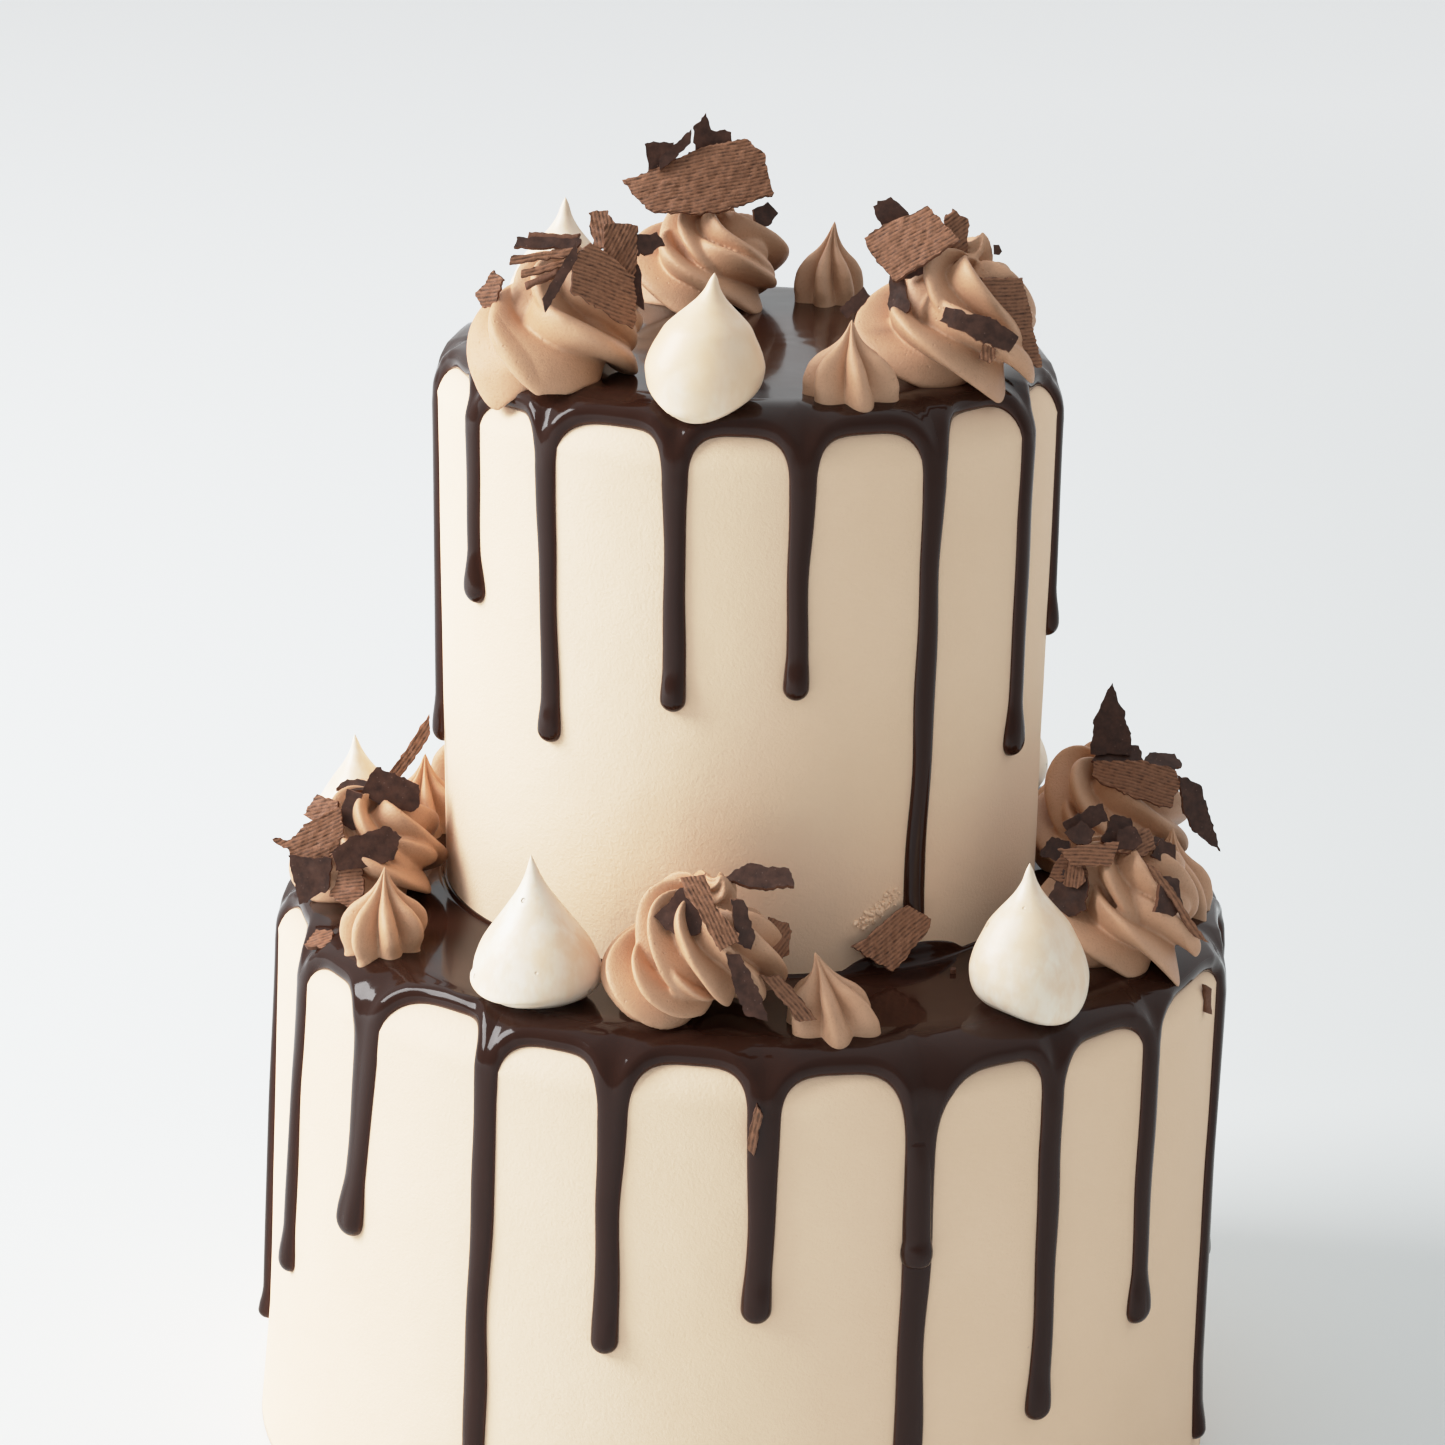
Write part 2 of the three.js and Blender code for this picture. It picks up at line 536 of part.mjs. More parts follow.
// The toppings. A swirl carries small flakes that are one piece with it and large flakes that are
// pieces of their own and lie in notches in it.
const SWIRLS = {
  swirl_top_left: {
    tier: UPPER, at: [-54.9, -44], phase: 10, lean: [4, 0], twin: [-1, 0],
    small: [
      { at: [-36.4, -45, 332.6], outline: [[-5, 8.5], [-2.5, -3], [4, -8.5], [3, -0.5], [0, 8.5]] },
      { at: [-43.5, -44, 344], size: [8, 11], face: [-100, 20], roll: 25 },
      {
        at: [-39, -44.5, 342],
        outline: [[-4, 4], [-5, -13], [3, -13], [4.5, 3.5]], face: [-80, 15],
      },
      { at: [-32.5, -44, 341], size: [9, 5.5], face: [-80, 25], roll: 15 },
      { at: [-56, -49, 340], size: [19, 4], shape: "strip", face: [-95, 50], roll: 4 },
      { at: [-57, -51, 335.8], size: [13, 4.5], shape: "strip", face: [-95, 45], roll: 12 },
      { at: [-56.5, -53, 332.4], size: [11, 4], shape: "strip", face: [-95, 35], roll: 24 },
      { at: [-53.9, -56.5, 332.3], size: [3, 17], shape: "strip", roll: -32 },
      { at: [-71.6, -46, 328.6], size: [6, 9.5], face: [-110, 15], roll: -20 },
    ],
    large: {
      flake_top_left: {
        at: [-41.9, -54, 331.5],
        outline: [[-9, 6], [-9, -1], [6.5, -10.5], [7.5, -8.5], [7.5, 2.5], [-3.5, 11.5]], bend: 1,
      },
    },
  },
  swirl_top_back: {
    tier: UPPER, at: [-15.9, 50.7], radius: 22, height: 31, phase: 40,
    small: [
      {
        at: [-31, 50, 347.5],
        outline: [[-4.5, 3], [-3, -5], [3, -15], [10, -15], [4, -2], [3.5, 3.5]], face: [-90, 10],
      },
      { at: [-27.6, 49, 348.2], size: [3, 15], shape: "strip", roll: -34 },
      {
        at: [-17.4, 50, 353.4],
        outline: [[-5, 1.5], [-2.5, -20], [3.5, -20], [5.5, 1], [0, 1.5], [-1.5, 6]], face: [-90, 5],
      },
      { at: [-2.5, 47, 332], size: [8, 6], face: [-70, 20], roll: 30 },
    ],
    large: {
      flake_top_back: {
        at: [-20.7, 42.5, 342.4], bend: 1.5, face: [-90, 25],
        outline: [
          [-20.5, -0.5], [-14, -8], [-9.5, -9.5], [5, -9.5], [21, -3],
          [18, 8], [12.5, 12], [-1, 8], [-11.5, 2.5],
        ],
      },
    },
  },
  swirl_top_right: {
    tier: UPPER, at: [45.2, -31.3], radius: 23, height: 37, phase: 20, lean: [12, 0], twin: [-4, 0],
    small: [
      {
        at: [29.4, -32, 349],
        outline: [[-4.5, 1], [-2, -4], [4, -17], [11, -15], [4.5, 0], [0, 3.5]], face: [-90, 10],
      },
      {
        at: [46.2, -32, 345.6],
        outline: [[-3, -12], [3, -12], [3, 2], [-1, 4.5], [-3, 2]], face: [-85, 8],
      },
      { at: [31.8, -43.5, 329.4], size: [5.5, 11], roll: 20, face: [-110, 20] },
      { at: [54.6, -51, 317.6], size: [4.5, 6.5], roll: 5 },
    ],
    large: {
      flake_top_front: {
        at: [32.1, -39, 342.6],
        outline: [[-9.5, 0], [-6.5, -4.5], [0.5, -11], [15, 1.5], [5.5, 10], [-5, 4]],
        face: [-90, 30],
      },
      flake_top_side: {
        at: [62, -35.5, 324.5],
        outline: [[-6.5, 10], [-4.5, -7.5], [7.5, -12], [3.5, 9.5]], face: [-75, 15],
      },
      flake_top_curl: {
        at: [52.6, -53, 324],
        outline: [[-10, 2], [-1.5, -2.5], [7.5, -6], [10, -2], [3, 2.5], [-8.5, 5.5]], bend: 2,
        face: [-85, 20],
      },
    },
  },
  swirl_left: {
    tier: LOWER, at: [-105.5, -18.5], height: 33, phase: 0, twin: [0, 1],
    small: [
      { at: [-108.3, -27, 182.4], size: [7, 11], face: [-100, 15] },
      { at: [-108.5, -19, 186], size: [9, 4], face: [-90, 60] },
      { at: [-116.3, -24, 181], size: [10, 7.5], face: [-110, 25] },
      { at: [-108.1, -39, 165.4], size: [9, 12.5], face: [-100, 25] },
      { at: [-93.4, -13, 194.6], size: [3.4, 22], shape: "strip", roll: -33 },
    ],
    large: {
      flake_left_top: {
        at: [-97, -23, 185.4],
        outline: [[-9, 0.5], [-3.5, -3.5], [4.5, -4.5], [6.5, -3], [6.5, 3], [-5, 7.5]],
      },
      flake_left_pointed: {
        at: [-119.4, -32, 175],
        outline: [
          [-9.5, -0.5], [-5.5, -2.5], [-3, -7], [6, -4.5], [10, 1.5], [8, 9], [-0.5, 4.5], [-5.5, -0.5],
        ],
        face: [-95, 25],
      },
      flake_left_middle: {
        at: [-103.4, -37.5, 174.4],
        outline: [[-9, -1], [-8, -5.5], [-0.5, -4.5], [7.5, -2.5], [9.5, 3.5], [5, 6.5], [-4.5, 3.5]],
        face: [-85, 25],
      },
      flake_left_low: {
        at: [-117.6, -38.5, 165.5],
        outline: [[-7, 6.5], [-3, -6.5], [0.5, -4], [4.5, -1.5], [5, 7]], face: [-100, 15],
      },
    },
  },
  swirl_front: {
    tier: LOWER, at: [-15.8, -104.7], radius: 23.5, height: 38, phase: 50, lean: [12, -1], twin: [-1.5, 0],
    small: [
      { at: [-18.4, -115, 187.6], size: [12.5, 11.5], face: [-100, 25], roll: -15 },
      { at: [-3.4, -112, 184], size: [5, 14], face: [-80, 10], roll: 15 },
      { at: [0.8, -103, 193.2], size: [17.5, 7], face: [-90, 50], roll: -4 },
      { at: [4.6, -103, 176.5], size: [9, 11.5], face: [-70, 15], roll: -10 },
      {
        at: [-1.5, -120.5, 168.6],
        outline: [[-5.5, 9], [-3, 0.5], [0, -6], [5.5, -7.5], [3, 0.5], [-2, 9]],
      },
      { at: [3.6, -112.6, 168.8], size: [4.2, 16], shape: "strip", roll: 42, face: [-68, 15] },
    ],
    large: {
      flake_front: {
        at: [-10.5, -119.5, 189.4],
        outline: [[-8.5, 8.5], [-5, 1.5], [2, -9.5], [6.5, -7], [6.5, -5], [0, 1.5], [-2, 10]],
        face: [-90, 25], bend: 1,
      },
    },
  },
  swirl_right: {
    tier: LOWER, at: [97.5, -51.1], radius: 23.5, phase: 30, twin: [-1, 0],
    small: [
      { at: [85.9, -54, 194], size: [12, 6], shape: "strip", roll: 32 },
      { at: [94.2, -54, 191.5], size: [9, 8], face: [-80, 25] },
      { at: [98.5, -58, 190], size: [10.5, 8], face: [-75, 35] },
      { at: [81.4, -64, 177.4], size: [11, 12], face: [-110, 20] },
      { at: [81.5, -61, 183.2], size: [10, 8], face: [-95, 30] },
      { at: [78.5, -54, 186], size: [8, 6.5], face: [-110, 25] },
      { at: [103.5, -54, 186], size: [10, 8], face: [-70, 35] },
      { at: [107.5, -59, 175.5], size: [9, 11], face: [-60, 15] },
      { at: [109.6, -61.5, 174.8], size: [2.4, 28], shape: "strip", roll: 27, face: [-65, 15] },
    ],
    large: {
      flake_right: {
        at: [86.4, -64.5, 188.2],
        outline: [[-8.5, 1.5], [-5, -3], [5.5, -2.5], [7.5, 4]], face: [-90, 20],
      },
    },
  },
  swirl_far_right: {
    tier: LOWER, at: [102, 17], height: 37, phase: 15,
    small: [
      { at: [99.3, 10.5, 191.8], size: [14.5, 7], face: [-90, 40] },
      { at: [111, 10.5, 190], size: [12, 6], face: [-75, 50] },
      {
        at: [97.3, 12, 200.4],
        outline: [[-5.5, -8.5], [5.5, -8.5], [5.5, -2.5], [0, 11], [-5, 1]],
      },
    ],
    large: {
      flake_far_right: {
        at: [105.4, 2, 187.4],
        outline: [[-13, 5], [-13.5, 1], [-1.5, -5.5], [8, -7.5], [10.5, -1.5], [9.5, 3], [0, 5.5]],
        face: [-90, 35], bend: 1,
      },
      flake_far_side: {
        at: [121.4, 2.5, 178.7],
        outline: [[-5.5, 10.5], [-4.5, 1], [-1, -6], [6.5, -11.5], [3.5, -1.5], [0.5, 7.5]],
        face: [-70, 10],
      },
    },
  },
  swirl_back: {
    tier: LOWER, at: [22, 103.7], radius: 22, height: 33, phase: 5,
    small: [
      { at: [14, 112, 187], size: [13, 9], face: [110, 35] },
      { at: [31, 110, 185], size: [10, 12], face: [60, 30], roll: 20 },
    ],
    large: {
      flake_back: { at: [21, 119, 183.5], size: [17, 13], face: [88, 35], roll: 10, bend: 1 },
    },
  },
};

const STARS = {
  star_top_back: { tier: UPPER, at: [16, 57.6], radius: 10.2, lean: [1.4, 0], phase: 5 },
  star_top_front: { tier: UPPER, at: [19.8, -62.4], radius: 11.2, height: 19.8, phase: 12 },
  star_left: { tier: LOWER, at: [-96.3, -67.1], radius: 11.8, height: 22.6, phase: 20 },
  star_front: { tier: LOWER, at: [20, -111.9], radius: 11.4, height: 19.6, lean: [-5, 0], phase: 0 },
  star_right: { tier: LOWER, at: [113, -14], radius: 12, phase: 9 },
  star_far_left: { tier: LOWER, at: [-93, 33], radius: 11, phase: 33 },
  star_back_right: { tier: LOWER, at: [92, 55.8], radius: 11, height: 20, phase: 15 },
  star_back: { tier: LOWER, at: [-20.6, 106], height: 23, phase: 28 },
  star_back_left: { tier: LOWER, at: [-83, 72.2], radius: 11.8, phase: 41 },
};

const KISSES = {
  kiss_top_front: { tier: UPPER, at: [-16.7, -70.5], radius: 15.2, height: 33.2, lean: [1.9, 0] },
  kiss_top_left: { tier: UPPER, at: [-55.1, -4.4], radius: 14, height: 38, lean: [0.5, 0] },
  kiss_front_left: { tier: LOWER, at: [-54.5, -96.4], radius: 16.2, height: 38.3, lean: [-2.3, 0] },
  kiss_front_right: { tier: LOWER, at: [70, -93.8], height: 38.7, lean: [-1.2, 0] },
  kiss_far_left: { tier: LOWER, at: [-109.5, 18], radius: 13.5, height: 32, lean: [-2, 0] },
  kiss_back_right: { tier: LOWER, at: [70, 80.6], height: 38, lean: [1, 1] },
  kiss_back: { tier: LOWER, at: [-55, 95.3], radius: 15.8, lean: [0, 2] },
};

// One flake leans on the foot of the upper tier, over the lower end of its longest drip.
const LEANING = {
  at: [38.3, -73.3, 168.2],
  outline: [[-14, -2.5], [-3.5, -9.5], [7.5, 1.5], [8, 3.5], [2, 7.5]], face: [-75, 25],
};

addPiece("lower_tier", tierBody(LOWER, 0, LOWER.base, RIM_ROUNDER), "CREAM");
addPiece("upper_tier", tierBody(UPPER, 0, UPPER.base, RIM_ROUNDER), "CREAM");
addPiece("lower_glaze", lowerGlaze(), "GLAZE");
addPiece("upper_glaze", upperGlaze(), "GLAZE");
for (const [name, sizes] of Object.entries(SWIRLS)) {
  const large = Object.entries(sizes.large);
  const small = sizes.small.map((one) => flake(one));
  let body = small.reduce((sum, one) => sum.add(one), swirl(sizes));
  large.forEach(([flakeName, one], i) => {
    const others = large.slice(0, i).map(([, other]) => flake(other, GAP));
    const clear = others.reduce((left, other) => left.subtract(other), flake(one));
    body = body.subtract(flake(one, GAP));
    addPiece(flakeName, largest(clear), "CHOCOLATE");
  });
  addPiece(name, largest(body.simplify(SEAM)), "MOUSSE");
}
for (const [name, sizes] of Object.entries(STARS))
  addPiece(name, star(sizes).simplify(SEAM), "MOUSSE");
for (const [name, sizes] of Object.entries(KISSES))
  addPiece(name, kiss(sizes).simplify(SEAM), "MERINGUE");
addPiece("flake_leaning", flake(LEANING), "CHOCOLATE");

export default group;
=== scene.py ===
import math
from dataclasses import dataclass

import bmesh
import bpy
import numpy as np
from mathutils import Matrix, Vector


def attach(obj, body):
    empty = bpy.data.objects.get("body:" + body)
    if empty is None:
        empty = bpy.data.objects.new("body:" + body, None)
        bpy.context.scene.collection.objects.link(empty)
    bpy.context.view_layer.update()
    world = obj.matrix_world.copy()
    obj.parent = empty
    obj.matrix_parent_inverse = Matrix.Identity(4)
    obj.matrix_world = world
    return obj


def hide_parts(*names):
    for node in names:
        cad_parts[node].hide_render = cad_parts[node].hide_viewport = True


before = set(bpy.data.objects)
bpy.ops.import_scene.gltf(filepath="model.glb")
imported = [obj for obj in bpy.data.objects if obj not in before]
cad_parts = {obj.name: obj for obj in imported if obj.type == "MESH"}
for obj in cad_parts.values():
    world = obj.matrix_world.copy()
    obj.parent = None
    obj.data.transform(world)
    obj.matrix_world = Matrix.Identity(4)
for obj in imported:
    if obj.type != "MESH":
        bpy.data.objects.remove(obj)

# A two-tier drip cake with piped swirls, meringue kisses and shaved chocolate. Shapes are worked out
# in millimetres and become metres in their meshes. Angles run counter-clockwise from +X, in degrees
# where a table or a name says so.
MM = 0.001
TURN = 2 * math.pi
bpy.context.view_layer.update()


@dataclass(frozen=True)
class Tier:
    """A round tier: `spread` and `flare` widen its wall towards the foot, `foot` and `head` are
    where its axis starts and ends, and the glaze on its wall is `lopsided`, thicker on the right."""

    base: float
    height: float
    radius: float
    spread: float
    flare: float
    foot: tuple
    head: tuple
    lopsided: float = 0
    fillet: float = 12

    @property
    def top(self):
        return self.base + self.height


LOWER = Tier(
    base=0, height=155, radius=129.5, spread=2.6, flare=1.6, foot=(-1.4, 0), head=(0, 0), lopsided=0.32,
)
UPPER = Tier(base=155.3, height=149.6, radius=82.5, spread=-1.8, flare=0, foot=(-3.6, 1.6), head=(-5.5, 1.6))

# The lowest part of a wall's height over which it flares, and the way down at which the glaze has
# lost half of its lopsidedness.
FLARE_PART = 0.2
LOPSIDED_HALF = 50

# The cream's rim is this much rounder than the glaze over it, and the glaze lies this thick.
RIM_ROUNDER = 2.4
GLAZE_TOP = 2.3
GLAZE_DRIP = 2.3
GLAZE_BEAD = 3.3

# It is thinnest where it turns over the rim: stops of way down as a share of the funnel's length.
GLAZE_THIN = [(0, 2.3), (0.3, 1.7), (0.55, 1.25), (0.8, 1.5), (1, 1.8)]


# Numbers and curves
def mix(start, end, part):
    return start + (end - start) * part


def smooth(value):
    part = np.clip(value, 0, 1)
    return part * part * (3 - 2 * part)


def chance(seed):
    """A number between -1 and 1 that is always the same for the same seed."""
    wave = math.sin(seed * 127.1 + 31.7) * 43758.5453
    return 2 * (wave - math.floor(wave)) - 1


def through(value, stops):
    """A smooth curve through (value, result) stops, which never swings past them."""
    xs, ys = np.array(stops, float).T
    step = np.diff(xs)
    rise = np.diff(ys) / step
    slope = np.zeros(len(xs))
    slope[0], slope[-1] = rise[0], rise[-1]
    for i in range(1, len(xs) - 1):
        if rise[i - 1] * rise[i] > 0:
            slope[i] = 2 * rise[i - 1] * rise[i] / (rise[i - 1] + rise[i])
    value = np.clip(value, xs[0], xs[-1])
    k = np.clip(np.searchsorted(xs, value, side="right") - 1, 0, len(step) - 1)
    part = (value - xs[k]) / step[k]
    bend = part * part * (3 - 2 * part)
    lead = part * (1 - part) ** 2 * step[k] * slope[k]
    trail = part * part * (1 - part) * step[k] * slope[k + 1]
    return mix(ys[k], ys[k + 1], bend) + lead - trail


def ripple(x, y, z, size, seed=0.0):
    """A gentle unevenness between -1 and 1 whose swells are about `size` apart."""
    a = np.sin(2.1 * x / size + seed + 1.7 * np.sin(1.3 * y / size + 2 * seed))
    b = np.sin(1.9 * y / size + 1.7 * seed + 1.3 * np.sin(1.6 * z / size + seed))
    c = np.sin(2.3 * z / size + 0.7 * seed + 1.5 * np.sin(1.2 * x / size + 3 * seed))
    return (a + b + c) / 3


def lobed(angle, sharpness):
    """1 on a lobe and 0 in the crease between two: lobes are broad and round, and sharper from 1 up."""
    return np.abs(np.cos(angle / 2)) ** sharpness


# Meshes: points of a closed shape that lie closer than this many millimetres become one.
WELD = 0.002


def lay_sheet(bm, points, layer=None, values=None):
    """A sheet of quads, from a plain grid, whose corners are the rows of `points`."""
    rows, columns = points.shape[:2]
    made = bmesh.ops.create_grid(bm, x_segments=columns - 1, y_segments=rows - 1, size=1)["verts"]
    for vert, point in zip(made, points.reshape(-1, 3)):
        vert.co = point
    if layer is not None:
        for vert, value in zip(made, values.reshape(-1)):
            vert[layer] = value


def stacked(*parts):
    """Points from arrays for x, y and z of one shape."""
    return np.stack(np.broadcast_arrays(*parts), axis=-1)


def smooth_mesh(name, bm, *materials):
    """A shape in metres becomes a mesh with smooth faces."""
    for face in bm.faces:
        face.smooth = True
    mesh = bpy.data.meshes.new(name)
    bm.to_mesh(mesh)
    bm.free()
    for material in materials:
        mesh.materials.append(material)
    return mesh


def finish_mesh(name, bm, *materials):
    """A closed shape in millimetres becomes a mesh in metres."""
    bmesh.ops.remove_doubles(bm, verts=bm.verts, dist=WELD)
    bmesh.ops.dissolve_degenerate(bm, edges=bm.edges, dist=WELD)
    bmesh.ops.recalc_face_normals(bm, faces=bm.faces)
    bmesh.ops.scale(bm, vec=(MM, MM, MM), verts=bm.verts)
    return smooth_mesh(name, bm, *materials)


def placed(name, data):
    """A new object in the scene."""
    made = bpy.data.objects.new(name, data)
    bpy.context.scene.collection.objects.link(made)
    return made


def piece(name, mesh, slot, *nodes):
    """A piece of the cake that stands for these solids."""
    made = placed(name, mesh)
    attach(made, "root")
    if nodes:
        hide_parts(*nodes)
    return made


# Finishes
class Wire:
    """A node's output, or a number, that can be used in sums."""

    def __init__(self, finish, socket):
        self.finish = finish
        self.socket = socket

    def sum(self, operation, *values):
        return self.finish.node("ShaderNodeMath", {"operation": operation}, *values)

    def __add__(self, other):
        return self.sum("ADD", self, other)

    def __rsub__(self, other):
        return self.sum("SUBTRACT", other, self)

    def __mul__(self, other):
        return self.sum("MULTIPLY", self, other)


class Finish:
    """A surface finish: a Principled shader and what feeds it."""

    def __init__(self, name, **constants):
        self.material = bpy.data.materials.new(name)
        self.material.use_nodes = True
        self.tree = self.material.node_tree
        self.shader = self.tree.nodes["Principled BSDF"]
        for socket, value in constants.items():
            self.shader.inputs[socket.replace("_", " ")].default_value = value
        self.place = self.node("ShaderNodeTexCoord", {}, output="Object")

    def node(self, kind, settings, *values, output=0, **sockets):
        """Adds a node, its settings first, then its sockets in order or by name."""
        node = self.tree.nodes.new(kind)
        for key, value in settings.items():
            setattr(node, key, value)
        named = {key.replace("_", " "): value for key, value in sockets.items()}
        for key, value in [*enumerate(values), *named.items()]:
            self.feed(node.inputs[key], value)
        return Wire(self, node.outputs[output])

    def feed(self, socket, value):
        if isinstance(value, Wire):
            self.tree.links.new(value.socket, socket)
        else:
            socket.default_value = value

    def set(self, **sockets):
        for key, value in sockets.items():
            self.feed(self.shader.inputs[key.replace("_", " ")], value)

    def noise(self, size, detail=2.0, roughness=0.5, stretch=(1, 1, 1)):
        """Cloudy noise whose blotches are about `size` millimetres, between 0 and 1."""
        where = self.place
        if stretch != (1, 1, 1):
            where = self.node("ShaderNodeMapping", {}, Vector=where, Scale=stretch)
        scale = 1 / (size * MM)
        return self.node(
            "ShaderNodeTexNoise", {}, Vector=where, Scale=scale, Detail=detail, Roughness=roughness,
        )

    def cells(self, size):
        """The distance to the nearest of many scattered points about `size` millimetres apart."""
        return self.node("ShaderNodeTexVoronoi", {}, Vector=self.place, Scale=1 / (size * MM))

    def between(self, value, low, high, to_low=0.0, to_high=1.0):
        return self.node("ShaderNodeMapRange", {}, value, low, high, to_low, to_high)

    def blend(self, part, first, second):
        """A colour between two colours or wires."""
        node = self.tree.nodes.new("ShaderNodeMix")
        node.data_type = "RGBA"
        self.feed(node.inputs["Factor"], part)
        for socket, colour in ((node.inputs[6], first), (node.inputs[7], second)):
            self.feed(socket, colour if isinstance(colour, Wire) else (*colour, 1))
        return Wire(self, node.outputs[2])

    def attribute(self, name):
        return self.node("ShaderNodeAttribute", {"attribute_name": name}, output="Fac")

    def bump(self, height, depth, strength=1.0, normal=None):
        """A relief of `depth` millimetres."""
        sockets = {"Height": height, "Distance": depth * MM, "Strength": strength}
        if normal is not None:
            sockets["Normal"] = normal
        return self.node("ShaderNodeBump", {}, **sockets)


def shade(red, green, blue):
    """A colour as the eye reads it, from 0 to 255, as the linear light that a shader takes."""
    parts = [value / 255 for value in (red, green, blue)]
    return tuple(v / 12.92 if v <= 0.04045 else ((v + 0.055) / 1.055) ** 2.4 for v in parts)


def cream_finish():
    finish = Finish("cream_finish", Roughness=0.62, Specular_IOR_Level=0.32)
    tone = finish.blend(finish.noise(28, 3), shade(236, 204, 174), shade(242, 211, 182))
    specks = finish.between(finish.cells(9), 0.028, 0.04, 1, 0)
    sparse = finish.between(finish.noise(17, 1), 0.6, 0.66)
    finish.set(Base_Color=finish.blend(specks * sparse * 0.5, tone, shade(150, 125, 104)))
    grain = finish.noise(0.9, 5, 0.65)
    swell = finish.noise(14, 2)
    soft = finish.bump(swell, 0.9, 0.35)
    finish.set(Normal=finish.bump(grain, 0.2, 0.9, soft))
    return finish.material


def glaze_finish():
    finish = Finish("glaze_finish", Specular_IOR_Level=0.07, Coat_Weight=0.24, Coat_Roughness=0.035)
    edge = finish.attribute("edge")
    cloudy = finish.noise(22, 2)
    body = finish.blend(cloudy, shade(42, 22, 16), shade(50, 28, 20))
    finish.set(Base_Color=finish.blend(edge, shade(66, 38, 29), body))
    finish.set(Roughness=finish.between(cloudy, 0.3, 0.7, 0.1, 0.15))
    finish.set(Normal=finish.bump(finish.noise(9, 1), 0.25, 0.25))
    return finish.material


def mousse_finish():
    finish = Finish("mousse_finish", Roughness=0.45, Specular_IOR_Level=0.42)
    tone = finish.blend(finish.noise(6, 3), shade(191, 147, 115), shade(206, 163, 131))
    grain = finish.noise(0.6, 4, 0.7)
    # The specks lie where the grain's relief is lowest: a darker grain colour and, with it, a painted shade
    # in the grain's hollows.
    specks = finish.between(grain, 0.28, 0.48, 1, 0)
    finish.set(Base_Color=finish.blend(specks * 0.3, tone, shade(146, 104, 76)))
    pits = finish.between(finish.cells(3.2), 0.05, 0.12)
    rough = finish.bump(grain, 0.2, 0.9)
    finish.set(Normal=finish.bump(pits, 0.25, 0.5, rough))
    return finish.material


def meringue_finish():
    finish = Finish("meringue_finish", Roughness=0.4, Specular_IOR_Level=0.42)
    streaks = finish.noise(6, 3, 0.6, stretch=(1, 1, 0.5))
    pale = finish.blend(finish.between(streaks, 0.42, 0.6), shade(247, 232, 213), shade(240, 216, 190))
    baked = finish.attribute("baked") + finish.between(finish.noise(18, 2), 0.38, 0.62, -0.2, 0.3)
    tone = finish.blend(finish.between(baked, 0, 1), pale, shade(231, 197, 164))
    sparse = finish.between(finish.noise(9, 1), 0.46, 0.5)
    # The pits are dented and coloured darker too: a painted shade in the dents.
    pits = finish.between(finish.cells(7.5), 0.05, 0.1, 1, 0) * sparse
    finish.set(Base_Color=finish.blend(pits * 0.35, tone, shade(205, 176, 148)))
    layers = finish.noise(1.6, 3, 0.6, stretch=(0.35, 0.35, 1))
    dents = finish.bump(1 - pits, 0.5, 1)
    finish.set(Normal=finish.bump(layers, 0.14, 0.6, dents))
    return finish.material


def ridged_chocolate_finish():
    finish = Finish("ridged_chocolate_finish", Roughness=0.55, Specular_IOR_Level=0.35)
    # The grooves between the ridges are coloured darker in patches: a painted shade in the grooves.
    groove_shade = finish.attribute("groove_shade")
    face = finish.blend(finish.noise(1.1, 4, 0.7), shade(126, 84, 61), shade(182, 128, 94))
    patchy_shade = finish.between(finish.noise(1.3, 3, 0.6), 0.35, 0.6, 0.35, 1)
    finish.set(Base_Color=finish.blend(groove_shade * patchy_shade, face, shade(56, 34, 26)))
    finish.set(Normal=finish.bump(finish.noise(0.6, 4, 0.7), 0.2, 0.9))
    return finish.material


def smooth_chocolate_finish():
    finish = Finish("smooth_chocolate_finish", Roughness=0.42, Specular_IOR_Level=0.3)
    specks = finish.between(finish.cells(1.6), 0.06, 0.12, 1, 0)
    cloudy = finish.between(finish.noise(2.5, 4, 0.6), 0.3, 0.7)
    face = finish.blend(cloudy, shade(50, 30, 23), shade(80, 52, 41))
    finish.set(Base_Color=finish.blend(specks * 0.5, face, shade(128, 100, 90)))
    finish.set(Normal=finish.bump(finish.noise(1.4, 4, 0.65), 0.16, 0.6))
    return finish.material


def broken_chocolate_finish():
    finish = Finish("broken_chocolate_finish", Roughness=0.7, Specular_IOR_Level=0.25)
    finish.set(Base_Color=finish.blend(finish.noise(0.8, 4), shade(92, 58, 43), shade(126, 86, 65)))
    finish.set(Normal=finish.bump(finish.noise(0.5, 4, 0.7), 0.2, 1))
    return finish.material


CREAM = cream_finish()
GLAZE = glaze_finish()
MOUSSE = mousse_finish()
MERINGUE = meringue_finish()
CHOCOLATE = (ridged_chocolate_finish(), smooth_chocolate_finish(), broken_chocolate_finish())
RIDGED, PLAIN, BROKEN = range(3)


# Tiers
def rim_ease(tier, down):
    """How far the cream's rounder rim lies under the plain rounding of the tier."""
    bend = np.clip(down / tier.fillet, 0, math.pi / 2)
    return RIM_ROUNDER * (np.sin(bend) + np.cos(bend) - 1)


def axis_at(tier, z):
    part = (z - tier.base) / tier.height
    return [mix(start, end, part) for start, end in zip(tier.foot, tier.head)]


def wall_spread(tier, z):
    part = np.clip((z - tier.base) / tier.height, 0, 1)
    return tier.spread * (1 - part) + tier.flare * np.maximum(0, 1 - part / FLARE_PART)


